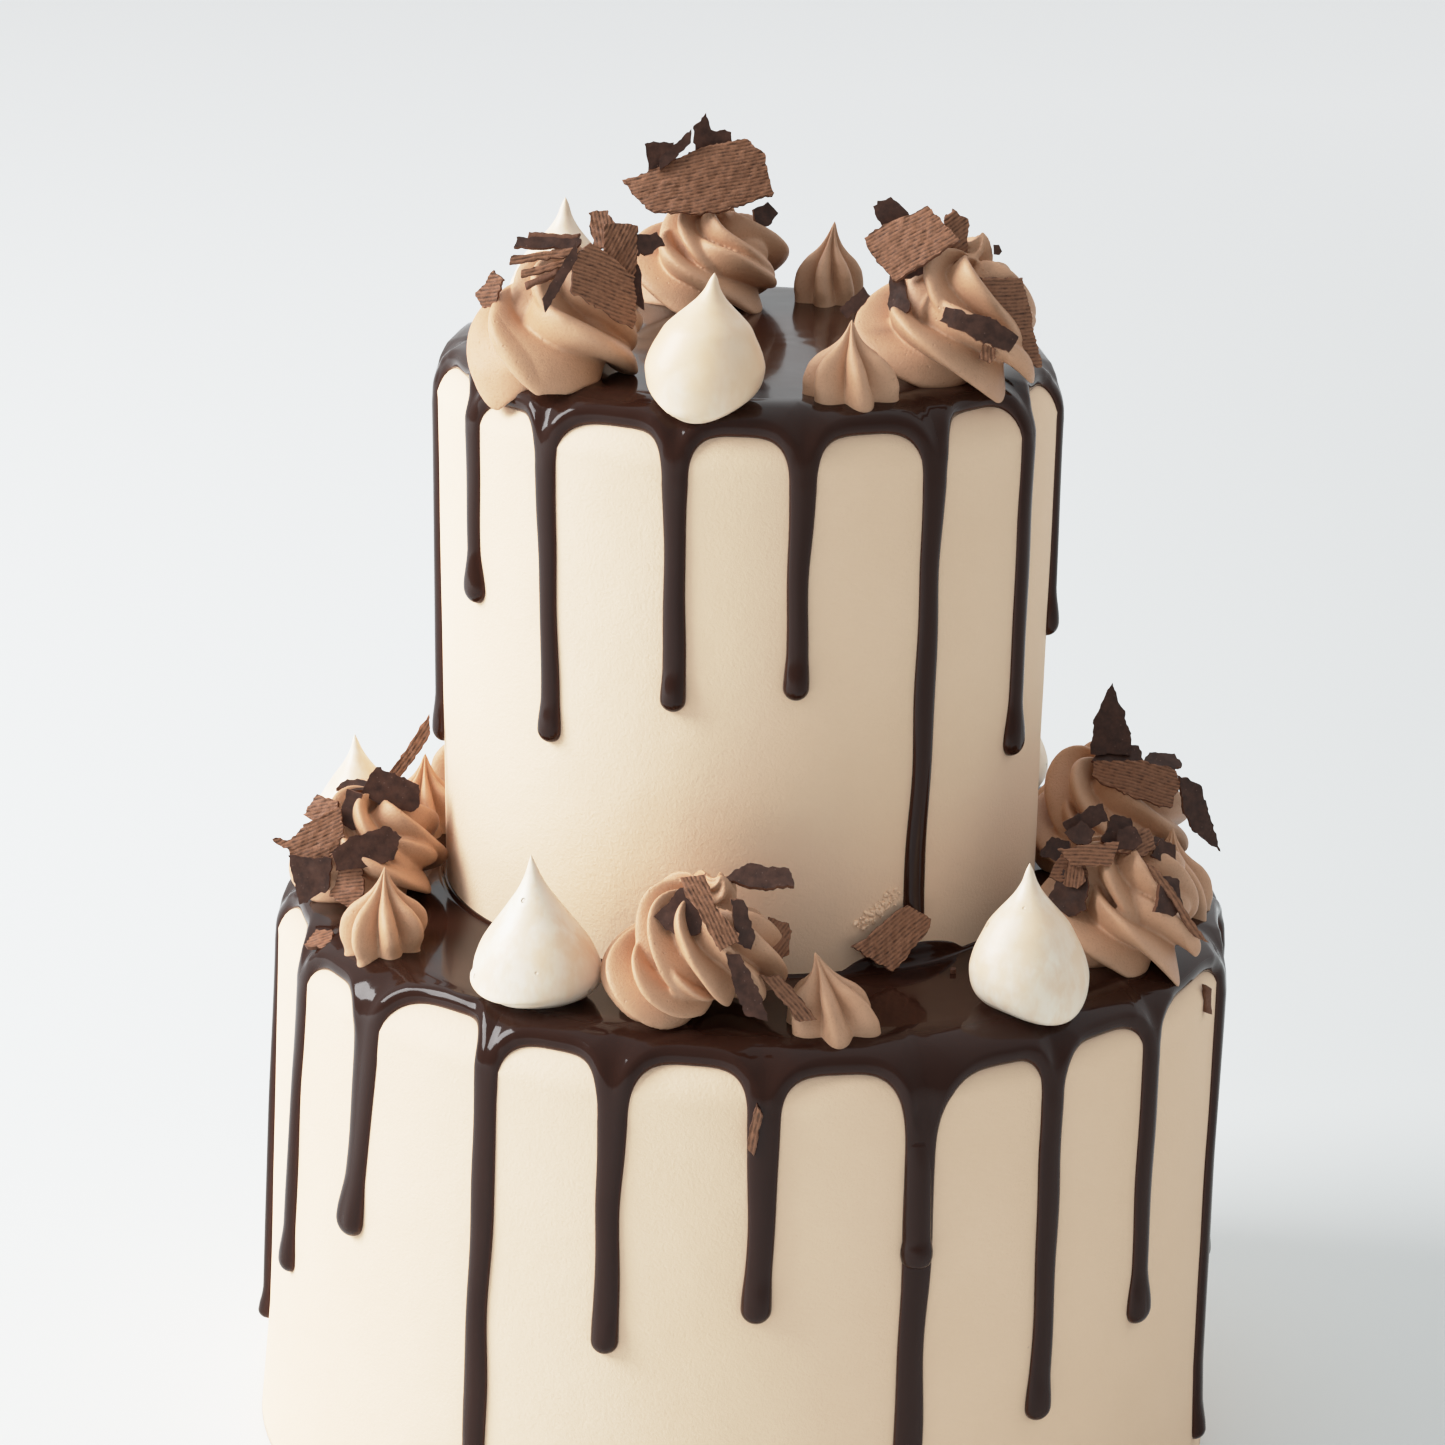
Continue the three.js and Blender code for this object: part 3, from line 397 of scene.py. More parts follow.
def on_tier(tier, angle, down, out):
    """Points `out` off the outside of a tier: `down` is the way along its surface from the edge of
    the flat top, over the rounded rim and down the wall."""
    bend = np.clip(down / tier.fillet, 0, math.pi / 2)
    below = np.maximum(0, down - tier.fillet * math.pi / 2)
    z = tier.top - tier.fillet + (tier.fillet + out) * np.cos(bend) - below
    spread = wall_spread(tier, z) * np.sin(bend)
    radius = tier.radius - tier.fillet + np.minimum(down, 0) + (tier.fillet + out) * np.sin(bend) + spread
    x, y = axis_at(tier, z)
    return stacked(x + radius * np.cos(angle), y + radius * np.sin(angle), z)


# The cream's slight waves: height, distance and seed of each kind.
CREAM_WAVES = [(0.16, 34, 0), (0.07, 11, 2)]

# The faint line that a scraper left under the rim: its height, its way down, its half width and how
# far it wanders up and down.
LINE_HEIGHT = 0.14
LINE_DOWN = 19
LINE_WIDTH = 1.1
LINE_WANDER = 1.5


def cream_relief(tier, angle, down):
    around = angle * tier.radius
    waves = sum(
        height * ripple(around, down, 0 * down, size, tier.base + seed) for height, size, seed in CREAM_WAVES
    )
    off = (down - LINE_DOWN - LINE_WANDER * np.sin(3 * angle)) / LINE_WIDTH
    line = LINE_HEIGHT * np.exp(-(off**2)) * (np.sin(2 * angle + 1) > -0.4)
    return (waves + line) * smooth((down - 6) / 10)


def tier_body(name, tier, node):
    columns = 288
    angle = np.linspace(0, TURN, columns + 1)[None, :]
    wall = tier.height - tier.fillet + tier.fillet * math.pi / 2
    flat = tier.radius - tier.fillet
    over = np.linspace(0, tier.fillet * math.pi / 2, 9)
    inner = np.linspace(-flat * 0.96, -flat * 0.02, 12)
    down = np.concatenate([[-flat], inner, over, np.linspace(over[-1], wall, 76)[1:]])[:, None]
    out = cream_relief(tier, angle, down) - rim_ease(tier, down)
    side = on_tier(tier, angle, down, out)
    foot = side[-1:]
    centre = stacked(*axis_at(tier, tier.base), tier.base)
    bm = bmesh.new()
    lay_sheet(bm, side)
    lay_sheet(bm, np.concatenate([foot, mix(foot, centre, 0.5), mix(foot, centre, 1.0)]))
    return piece(name, finish_mesh(name, bm, CREAM), "cream", node)


# The poured glaze. A drip is [angle, drift, length, half width, half width of its bead, way down
# at which its funnel ends, way down of the arch to its right, place of that arch's crest if it isn't
# half way].
UPPER_DRIPS = [
    [-176.5, 0, 110, 2.9, 4, 23, 8.8],
    [-149.2, 1.2, 60, 2.8, 4.2, 21.5, 11.9],
    [-128.5, 1.3, 90.5, 2.8, 3.5, 25.5, 10.7, 0.6],
    [-102.6, 0, 76.8, 2.9, 3.4, 24.5, 10.9],
    [-80, -0.8, 72.6, 2.9, 3.4, 24.5, 10.7],
    [-54.7, -1.6, 138, 3.1, 3.1, 26, 7.5],
    [-28.6, -1.3, 98.3, 3.2, 4.4, 22, 8.4],
    [-7, 1.4, 74.3, 2.9, 3.8, 21, 9.9],
    [20, 1, 54, 3, 3.8, 22, 11, 0.45],
    [47, -1, 92, 2.9, 3.7, 25, 9.9, 0.55],
    [75, 1, 63, 3.1, 3.9, 23, 10.5],
    [103, -1, 105, 2.8, 3.5, 25, 9.5],
    [130, 1, 48, 3, 3.9, 22, 10.8],
    [158, 0, 84, 2.9, 3.6, 24, 9.9],
]
LOWER_DRIPS = [
    [-175, -1, 131, 2.4, 2.8, 23, 7.8],
    [-155.6, -2.9, 98, 3, 4, 24.5, 11.5],
    [-138.8, -2.8, 72.2, 4.3, 5, 28, 6.2, 0.7],
    [-120.8, -0.1, 146, 3.3, 3.5, 23, 10.1],
    [-105.2, 0, 82.3, 3.3, 3.6, 27, 9.5],
    [-88.5, 0.3, 70.8, 3.6, 3.9, 23.5, 11.5],
    [-70.7, 0.3, 142, 3.75, 3.6, 36, 13.4, 0.72],
    [-53.8, 0.3, 107.5, 3.3, 3.9, 26, 12.5],
    [-37, 0.1, 92, 3.45, 4.6, 23.5, 12],
    [-13.2, -2.2, 147, 3.6, 3.4, 23, 11],
    [3, 0, 112, 3.1, 3.9, 23, 9.9],
    [22, 1, 84, 3.4, 4.2, 25, 8.8],
    [42, -1, 126, 3.3, 4, 23, 11, 0.4],
    [62, 0, 72, 3.6, 4.4, 27, 9.9],
    [82, 1, 139, 3.2, 3.8, 24, 12, 0.55],
    [103, -1, 93, 3.5, 4.3, 25, 9.3],
    [124, 1, 117, 3.2, 4, 23, 11],
    [145, 0, 66, 3.6, 4.4, 27, 9.9, 0.45],
    [166, 1, 104, 3.3, 4.1, 24, 11],
]

# A drip is this much wider where its funnel ends, and has lost most of that this far below.
NECK = 0.45
NECK_FADE = 12

# It swells to its bead over this many half widths of the bead, counted from its lower end.
SWELL_FROM = 3.6
SWELL_OVER = 2.6

# How far the glaze's rounded border reaches in from its edge.
BORDER = 3.6


class Drip:
    """One drip, with the arch to its right."""

    def __init__(self, tier, turned, at, drift, length, half, bead, funnel, arch, place=0.5):
        self.radius = tier.radius
        self.at, self.drift, self.turned = at, drift, turned
        self.end = length + tier.fillet * (math.pi / 2 - 1)
        self.half, self.bead, self.funnel, self.arch, self.place = half, bead, funnel, arch, place
        self.last = self.end - bead

    def middle(self, down):
        """The angle of its middle line, which wanders a little."""
        wander = 0.3 * np.sin(down / 15 + self.at) + 0.18 * np.sin(down / 6.1 + 2 * self.at)
        settled = smooth((down - self.funnel) / 25)
        angle = self.at + self.turned + self.drift * np.clip(down / self.end, 0, 1)
        return np.radians(angle) + wander * settled / self.radius

    def swell(self, down):
        return smooth((down - self.end + SWELL_FROM * self.bead) / (SWELL_OVER * self.bead))

    def half_width(self, down):
        neck = NECK * np.exp(-(down - self.funnel) / NECK_FADE)
        strand = self.half * (1 + 0.06 * np.sin(down / 9.0 + 3 * self.at)) + neck
        return mix(strand, self.bead, self.swell(down))

    def thickness(self, down):
        strand = through(np.clip(down / self.funnel, 0, 1), GLAZE_THIN)
        strand = mix(strand, GLAZE_DRIP, smooth((down - self.funnel) / (0.8 * self.end)))
        return mix(strand, GLAZE_BEAD, self.swell(down))


# From a drip's funnel up to the crest of an arch: how far round the curve, how far down the ridge
# is that the border slopes up to, and how far along that is to the next drip.
ARCH_TURN = [0, 0.16, 0.32, 0.5, 0.68, 1]
ARCH_RIDGE = [None, 18.8, 12.6, 6.3, 0, 0]
ARCH_ALONG = [0, 0, 0, 0, 0, 0.5]
ARCH_ACROSS = 0.6
ARCH_UP = 0.75


def glaze_edge(left, right, arch_steps=26, drip_steps=44, cap_steps=18):
    """The edge of the glaze from one drip's funnel over the arch and round the next drip, as columns
    of edge angle, edge way down, ridge angle, ridge way down and thickness."""
    arc = 1 / right.radius
    start = left.middle(left.funnel) + arc * left.half_width(left.funnel)
    stop = right.middle(right.funnel) - arc * right.half_width(right.funnel)
    columns = []

    def over_arch(drip, turn, near, share):
        ridge_stops = [drip.funnel if way is None else way for way in ARCH_RIDGE]
        ridge = np.interp(turn, ARCH_TURN, ridge_stops)
        along = np.interp(turn, ARCH_TURN, ARCH_ALONG)
        along = along if share > 0 else 1 - along
        across = 1 - np.cos(turn * math.pi / 2) ** ARCH_ACROSS
        angle = mix(near, mix(start, stop, left.place), across)
        down = mix(drip.funnel, left.arch, np.sin(turn * math.pi / 2) ** ARCH_UP)
        root = mix(left.middle(ridge), right.middle(ridge), along)
        columns.append(np.stack([angle, down, root, ridge, drip.thickness(ridge)]))

    turn = np.linspace(0, 1, arch_steps)
    over_arch(left, turn, start, 1)
    over_arch(right, turn[-2::-1], stop, -1)

    def down_drip(down, side, below=0.0):
        middle = right.middle(down)
        columns.append(np.stack([middle + arc * side, down + below, middle, down, right.thickness(down)]))

    strand = mix(right.funnel, right.last, np.linspace(0, 1, drip_steps) ** 0.9)
    down_drip(strand[1:-1], -right.half_width(strand[1:-1]))
    cap = np.linspace(0, math.pi, cap_steps)
    down_drip(np.full(cap_steps, right.last), -right.bead * np.cos(cap), right.bead * np.sin(cap))
    down_drip(strand[-2:0:-1], right.half_width(strand[-2:0:-1]))
    return np.concatenate(columns, axis=1)


# Rows from the edge of the glaze to its ridge: first round the border, then on to the ridge.
BORDER_ROWS = 8
RIDGE_ROWS = 5

# The glaze stands a little higher along its border: how much, how far in, and over what half width.
RISE = 0.45
RISE_AT = 3.2
RISE_WIDTH = 1.7

# The slight waves of the set glaze, on a wall and on a flat top: their height and distance.
WALL_WAVES = (0.12, 16)
TOP_WAVES = (0.14, 19)


def glaze_surface(tier, drips):
    """The edges of the glaze all round a tier, and the rows of points from there to the ridge."""
    row = [Drip(tier, 0, *sizes) for sizes in drips] + [Drip(tier, 360, *drips[0])]
    edge = np.concatenate([glaze_edge(a, b) for a, b in zip(row, row[1:])], axis=1)
    edge = np.concatenate([edge, edge[:, :1] + np.array([[TURN], [0], [TURN], [0], [0]])], axis=1)
    angle, down, root, ridge, thickness = edge
    reach = np.hypot((root - angle) * tier.radius, ridge - down)
    border = np.minimum(reach, BORDER)
    turn = np.linspace(0, math.pi / 2, BORDER_ROWS)[:, None]
    first = border * (1 - np.cos(turn))
    rest = mix(border, reach, np.linspace(0, 1, RIDGE_ROWS)[1:, None])
    way = np.concatenate([first, rest])
    part = way / reach
    at_angle, at_down = mix(angle, root, part), mix(down, ridge, part)
    rounded = np.sqrt(1 - (1 - np.clip(way / border, 0, 1)) ** 2)
    rise = RISE * np.exp(-(((way - RISE_AT) / RISE_WIDTH) ** 2)) * smooth((reach - 4) / 4)
    low = -rim_ease(tier, at_down)
    over_rim = np.sin(np.clip(at_down / tier.fillet, 0, math.pi / 2))
    over_rim = over_rim * smooth(1.5 - at_down / LOPSIDED_HALF)
    thickness = thickness * (1 + tier.lopsided * over_rim * np.cos(at_angle))
    full = thickness + rise + wall_swell(tier, at_angle, at_down)
    raised = on_tier(tier, at_angle, at_down, mix(low, full, rounded))
    under = on_tier(tier, at_angle, at_down, low)
    inked = smooth(way / 0.5) + 0 * thickness
    return root, ridge, raised, under, inked


def wall_swell(tier, angle, down):
    """The waves of the glaze on a wall, which end 30 mm down."""
    height, size = WALL_WAVES
    return height * ripple(angle * tier.radius, down, 0 * down, size, tier.base) * smooth((30 - down) / 20)


def top_swell(sheet, part, seed):
    """The waves of the glaze on a flat top, which end at the sheet's first and last row."""
    height, size = TOP_WAVES
    waves = height * ripple(sheet[..., 0], sheet[..., 1], 0, size, seed)
    return waves * smooth(4 * part) * smooth(4 - 4 * part)


def rim_line(tier, root, ridge, raised):
    """Where the border's inner rows end on the edge of the flat top, in order round the cake."""
    on_top = ridge <= 1e-9
    angles, keep = np.unique(np.round(root[on_top], 9), return_index=True)
    return angles, raised[-1][on_top][keep]


def poured(name, tier, drips, node, inward):
    root, ridge, raised, under, inked = glaze_surface(tier, drips)
    bm = bmesh.new()
    layer = bm.verts.layers.float.new("edge")
    lay_sheet(bm, raised, layer, inked)
    lay_sheet(bm, under[::2], layer, 0 * inked[::2])
    for face, rows, shown in ((1, raised, 1.0), (-1, under, 0.0)):
        angles, rim = rim_line(tier, root, ridge, rows)
        sheet = inward(angles, rim, face)
        lay_sheet(bm, sheet, layer, np.full(sheet.shape[:2], shown))
    return piece(name, finish_mesh(name, bm, GLAZE), "glaze", node)


def upper_inward(angles, rim, face):
    """The glaze on the flat top of the upper tier, from its rim to the middle."""
    x, y = axis_at(UPPER, UPPER.top)
    z = UPPER.top + (GLAZE_TOP if face > 0 else 0)
    part = np.linspace(0, 1, 26)[:, None, None]
    sheet = mix(rim[None], np.array([x, y, z]), part)
    if face > 0:
        sheet[..., 2] += top_swell(sheet, part[..., 0], 4.0)
    return sheet


# The lip that the glaze of the lower tier makes round the foot of the upper one, and how far it
# has splashed up under the longest drip.
LIP = 0.9
SPLASH = 5
SPLASH_ANGLE = -57
SPLASH_REACH = 13
LIP_ROWS = [(2.4, 0), (1.6, 0.06), (1.1, 0.24), (0.85, 0.55), (0.75, 0.85), (0.5, 0.98), (0.1, 1), (-0.5, 1)]


def lower_inward(angles, rim, face):
    """The glaze on the ledge round the upper tier, from the rim to the lip."""
    away = np.abs((np.degrees(angles) - SPLASH_ANGLE + 540) % 360 - 180)
    climb = LIP + SPLASH * np.cos(math.pi / 2 * np.clip(away / SPLASH_REACH, 0, 1)) ** 0.6
    top = LOWER.top + (GLAZE_TOP if face > 0 else 0)

    def ring(way, height):
        z = np.full(len(angles), 1.0) * (top + height)
        x, y = axis_at(UPPER, z)
        radius = UPPER.radius + UPPER.spread + way
        return stacked(x + radius * np.cos(angles), y + radius * np.sin(angles), z)

    shoulder = ring(LIP_ROWS[0][0], 0)
    part = np.linspace(0, 1, 18)[:, None, None]
    ledge = mix(rim[None], shoulder[None], part)
    if face > 0:
        ledge[..., 2] += top_swell(ledge, part[..., 0], 1.0)
    lip = [ring(way, climb * rise if face > 0 else 0)[None] for way, rise in LIP_ROWS[1:]]
    return np.concatenate([ledge, *lip])


# A shorter drip has run down over one of the lower tier's longest ones and stopped on it. Stops
# along it give its half width and its thickness.
OVER_ANGLE = (-70.9, -70.5)
OVER_FROM, OVER_TO = 30, 64.8
OVER_WIDE = [(0, 3.2), (0.3, 3.6), (0.75, 3.75), (0.87, 4.25), (0.94, 3.9), (0.98, 2.6), (1, 0)]
OVER_THICK = [(0, 1.8), (0.2, 2.6), (0.75, 3.2), (0.88, 3.9), (0.94, 3.6), (0.98, 2.4), (1, 0)]


def over_drip(name):
    part = np.concatenate([[0], np.linspace(0, 1, 70) ** 0.8])[:, None]
    round_it = np.linspace(0, TURN, 49)[None, :]
    wide, thick = through(part, OVER_WIDE), through(part, OVER_THICK)
    wide[0], thick[0] = 0, 0
    middle = np.radians(mix(*OVER_ANGLE, part))
    out = np.maximum(thick * np.sin(round_it), -0.1)
    angle = middle + wide * np.cos(round_it) / LOWER.radius
    points = on_tier(LOWER, angle, mix(OVER_FROM, OVER_TO, part), out)
    bm = bmesh.new()
    layer = bm.verts.layers.float.new("edge")
    lay_sheet(bm, points, layer, np.ones(points.shape[:2]))
    piece(name, finish_mesh(name, bm, GLAZE), "glaze")


# Toppings stand this deep in the glaze. Where they hang over the rim they give way, and the higher
# the stiffness is, the more at the foot alone.
SINK = 0.8
STIFFNESS = 2.5


def ground_of(tier):
    return tier.top + GLAZE_TOP


def fall_at(tier, x, y):
    """How far the glaze falls away under a point beyond the flat top."""
    reach = tier.fillet + GLAZE_TOP
    beyond = np.hypot(x - tier.head[0], y - tier.head[1]) - (tier.radius - tier.fillet)
    part = np.clip(beyond, 0, 0.9 * reach)
    return reach - np.sqrt(reach**2 - part**2)


def settle(tier, points, height):
    """Sets a topping, made from z = 0 up, down on the glaze."""
    x, y, up = points[..., 0], points[..., 1], points[..., 2]
    fall = fall_at(tier, x, y) * (1 - np.clip(up / height, 0, 1)) ** STIFFNESS
    points[..., 2] = ground_of(tier) + up - fall
    return points


# Swirls: a rope of cream with blades along it, laid in rising turns with the nozzle held still.
# Each list gives a share of the swirl's radius or height along the rope.
ROPE_PLACE = [(0, 0.46), (0.1, 0.5), (0.3, 0.5), (0.5, 0.38), (0.7, 0.24), (0.85, 0.1), (1, 0)]
ROPE_SIZE = [
    (0, 0), (0.015, 0.3), (0.05, 0.5), (0.3, 0.54), (0.5, 0.52), (0.7, 0.44), (0.85, 0.28), (0.95, 0.1),
    (1, 0),
]
ROPE_LEVEL = [(0, 0.25), (0.3, 0.29), (0.5, 0.43), (0.7, 0.62), (0.85, 0.8), (1, 1)]
BLADE_SHARPNESS = 1.0
BLADE_SKEW = 0.5
BLADE_DEPTH = 0.6

# The foot of the rope spreads by this part of its size over the lowest few millimetres.
FOOT_SPREAD = 0.15
FOOT_HEIGHT = 4

# The mesh width of the skin that closes a rope which runs through itself, and how often it is
# smoothed.
SKIN_VOXEL = 0.45
SKIN_ROUNDS = 2


def rope(radius, height, start, lean=(0, 0), phase=0, turns=2.1, blades=5, spin=1.15, full=1.0):
    """The points of a swirl's rope round x = y = 0: rows along it, columns round it. A `full` one
    stays wide for longer."""
    t = np.linspace(0, 1, 320)
    heading = math.radians(start) - TURN * turns * t
    out = radius * through(t**full, ROPE_PLACE)
    size = (radius * through(t**full, ROPE_SIZE))[:, None]
    up = height * through(t, ROPE_LEVEL)
    bend = (up / height) ** 1.6
    middle = stacked(out * np.cos(heading) + lean[0] * bend, out * np.sin(heading) + lean[1] * bend, up)
    along = np.gradient(middle, axis=0)
    along /= np.linalg.norm(along, axis=1)[:, None] + 1e-9
    outward = stacked(np.cos(heading), np.sin(heading), 0 * heading)
    upward = np.cross(along, outward)
    upward /= np.linalg.norm(upward, axis=1)[:, None] + 1e-9
    round_it = np.linspace(0, TURN, 193)[None, :]
    way = t[:, None]
    twist = spin * TURN * turns * way + math.radians(phase)
    angle = blades * (round_it - twist)
    blade = lobed(angle + BLADE_SKEW * np.sin(angle), BLADE_SHARPNESS)
    uneven = 1 + 0.05 * np.sin(3 * round_it + 7 * way + phase) + 0.04 * np.sin(11 * way + phase)
    reach = size * (1 - BLADE_DEPTH * (1 - blade)) * uneven
    side, rise = reach * np.cos(round_it), reach * np.sin(round_it)
    points = middle[:, None] + side[..., None] * outward[:, None] + rise[..., None] * upward[:, None]
    low = np.clip(1 - points[..., 2] / FOOT_HEIGHT, 0, 1) ** 2
    spread = FOOT_SPREAD * size * low * np.clip(np.cos(round_it), 0, 1)
    points += spread[..., None] * outward[:, None]
    points[..., 2] = np.maximum(points[..., 2], -SINK)
    return points


def skinned(mesh):
    """One closed skin round a mesh that runs through itself, smoothed a little."""
    holder = placed("rope", mesh)
    skin = holder.modifiers.new("skin", "REMESH")
    skin.mode = "VOXEL"
    skin.voxel_size = SKIN_VOXEL * MM
    shown = holder.evaluated_get(bpy.context.evaluated_depsgraph_get())
    made = bpy.data.meshes.new_from_object(shown)
    bpy.data.objects.remove(holder)
    bm = bmesh.new()
    bm.from_mesh(made)
    axes = dict(use_axis_x=True, use_axis_y=True, use_axis_z=True)
    for _ in range(SKIN_ROUNDS):
        bmesh.ops.smooth_vert(bm, verts=bm.verts, factor=0.5, **axes)
    return bm


def swirl(node, tier, at, radius, height, **form):
    bm = bmesh.new()
    lay_sheet(bm, rope(radius, height, **form))
    bm = skinned(finish_mesh("rope", bm))
    points = np.array([vert.co for vert in bm.verts]) / MM
    top = points[:, 2].max()
    x, y, z = points.T
    points += 0.15 * ripple(x, y, z, 5, at[0])[:, None]
    points += (*at, 0.3)
    for vert, point in zip(bm.verts, settle(tier, points, top) * MM):
        vert.co = point
    name = "cream_" + node
    return piece(name, smooth_mesh(name, bm, MOUSSE), "mousse", node)


# Stars: pulled straight up, with sharp blades and deep valleys between them.
STAR_WIDTH = [
    (0, 0.9), (0.06, 0.94), (0.2, 1.0), (0.35, 0.95), (0.5, 0.76), (0.62, 0.47), (0.72, 0.28), (0.85, 0.13),
    (0.95, 0.05), (1, 0),
]
STAR_DEPTH = [(0, 0.26), (0.1, 0.36), (0.25, 0.5), (0.45, 0.56), (0.65, 0.5), (0.9, 0.3), (1, 0.1)]
STAR_TWIST = 22
STAR_SHARPNESS = 1.3


def turned_body(at, radius, height, lean, rows, columns, reach):
    """A body round an upright axis, from its foot to its tip, where `reach` gives the radius."""
    part = np.concatenate([[0, 0], np.linspace(0, 1, rows) ** 0.9])[:, None]
    angle = np.linspace(0, TURN, columns + 1)[None, :]
    wide = radius * reach(part, angle)
    wide[0] = 0
    bend = part**1.7
    x = at[0] + lean[0] * bend + wide * np.cos(angle)
    y = at[1] + lean[1] * bend + wide * np.sin(angle)
    z = height * part + 0 * angle
    z[:2] = -SINK
    return stacked(x, y, z)


def star(node, tier, at, radius=11.5, height=22, lean=(0, 0), phase=0, blades=7, spread=0.04):
    """`spread` is the part by which its foot is wider than usual."""
    seed = math.radians(phase)

    def reach(part, angle):
        twist = seed - math.radians(STAR_TWIST) * part
        blade = lobed(blades * (angle - twist), STAR_SHARPNESS)
        uneven = 1 + 0.05 * np.sin(2 * angle + phase) + 0.03 * np.sin(5 * angle + 2 * phase)
        foot = 1 + spread * np.exp(-((part / 0.2) ** 2)) + 0.06 * blade * np.exp(-part / 0.04)
        return through(part, STAR_WIDTH) * (1 - through(part, STAR_DEPTH) * (1 - blade)) * uneven * foot

    points = settle(tier, turned_body(at, radius, height, lean, 70, 180, reach), height)
    bm = bmesh.new()
    lay_sheet(bm, points)
    name = "cream_" + node
    return piece(name, finish_mesh(name, bm, MOUSSE), "mousse", node)


# Meringue kisses: round drops with a drawn tip, widest low down or half way up.
KISS_LOW = [
    (0, 0.6), (0.05, 0.81), (0.1, 0.925), (0.15, 0.985), (0.195, 1), (0.255, 0.975), (0.31, 0.93),
    (0.38, 0.857), (0.47, 0.72), (0.56, 0.56), (0.65, 0.41), (0.75, 0.25), (0.85, 0.13), (0.93, 0.06),
    (1, 0),
]
KISS_HIGH = [
    (0, 0.56), (0.05, 0.8), (0.107, 0.92), (0.185, 0.98), (0.262, 1), (0.338, 0.966), (0.415, 0.9),
    (0.492, 0.815), (0.57, 0.723), (0.646, 0.571), (0.723, 0.395), (0.8, 0.235), (0.877, 0.126),
    (0.954, 0.06), (1, 0),
]


def kiss(node, tier, at, radius=15.6, height=39, lean=(0, 0), high=0.3, fold=0.0, folded=180, baked=0.1):
    """`high` is how much it is widest half way up, `fold` how deep the crease over its foot is on
    the side that faces `folded` degrees, and `baked` how much the oven has coloured it."""
    seed = at[0]

    def reach(part, angle):
        lumps = 1 + 0.018 * np.sin(2 * angle + seed) + 0.012 * np.sin(3 * angle + 5 * part + seed)
        aside = np.clip(np.cos(angle - math.radians(folded)), 0, 1)
        crease = -np.exp(-(((part - 0.09) / 0.02) ** 2)) + 0.7 * np.exp(-(((part - 0.14) / 0.03) ** 2))
        plain = mix(through(part, KISS_LOW), through(part, KISS_HIGH), high)
        return plain * lumps + fold * crease * aside**2

    points = settle(tier, turned_body(at, radius, height, lean, 90, 120, reach), height)
    bm = bmesh.new()
    layer = bm.verts.layers.float.new("baked")
    lay_sheet(bm, points, layer, np.full(points.shape[:2], baked))
    name = "meringue_" + node
    return piece(name, finish_mesh(name, bm, MERINGUE), "meringue", node)


# Flakes of shaved chocolate: thin, ragged, ridged on the face that the blade left rough.
FLAKE_THICKNESS = 1.3
RIDGE_PITCH = 0.95
RIDGE_HEIGHT = 0.27

# The way that a flake looks unless its row says otherwise, round and up, and the plain outlines.
FRONT = (-90, 17)
SLAB = [(-0.5, -0.3), (0.1, -0.5), (0.5, -0.28), (0.4, 0.4), (-0.2, 0.5)]
STRIP = [(-0.5, -0.36), (0.42, -0.5), (0.5, 0.3), (-0.46, 0.5)]


def ragged(outline, seed, roughness):
    """An outline with its sides broken into short uneven steps."""
    points = []
    for k, (start, end) in enumerate(zip(outline, outline[1:] + outline[:1])):
        start, end = Vector(start), Vector(end)
        side = end - start
        steps = max(1, round(side.length / 0.9))
        across = Vector((side.y, -side.x)).normalized()
        drift = 0.0
        for j in range(steps):
            part = (j + (0.35 * chance(seed + 3.1 * j + k) if j else 0)) / steps
            jump = chance(seed + 7.7 * j + 1.3 * k)
            drift = 0.55 * drift + 1.1 * jump * abs(jump) if j else 0.0
            points.append(start + side * part + across * roughness * drift)
    return points


def cut_along(bm, direction, spacing, reach, seed):
    """Cuts a flat shape by parallel lines across `direction`, unevenly spaced."""
    count = math.ceil(reach / spacing)
    for k in range(-count, count + 1):
        offset = (k + 0.12 * chance(seed + k)) * spacing
        geometry = bm.verts[:] + bm.edges[:] + bm.faces[:]
        bmesh.ops.bisect_plane(bm, geom=geometry, dist=1e-4, plane_co=direction * offset, plane_no=direction)


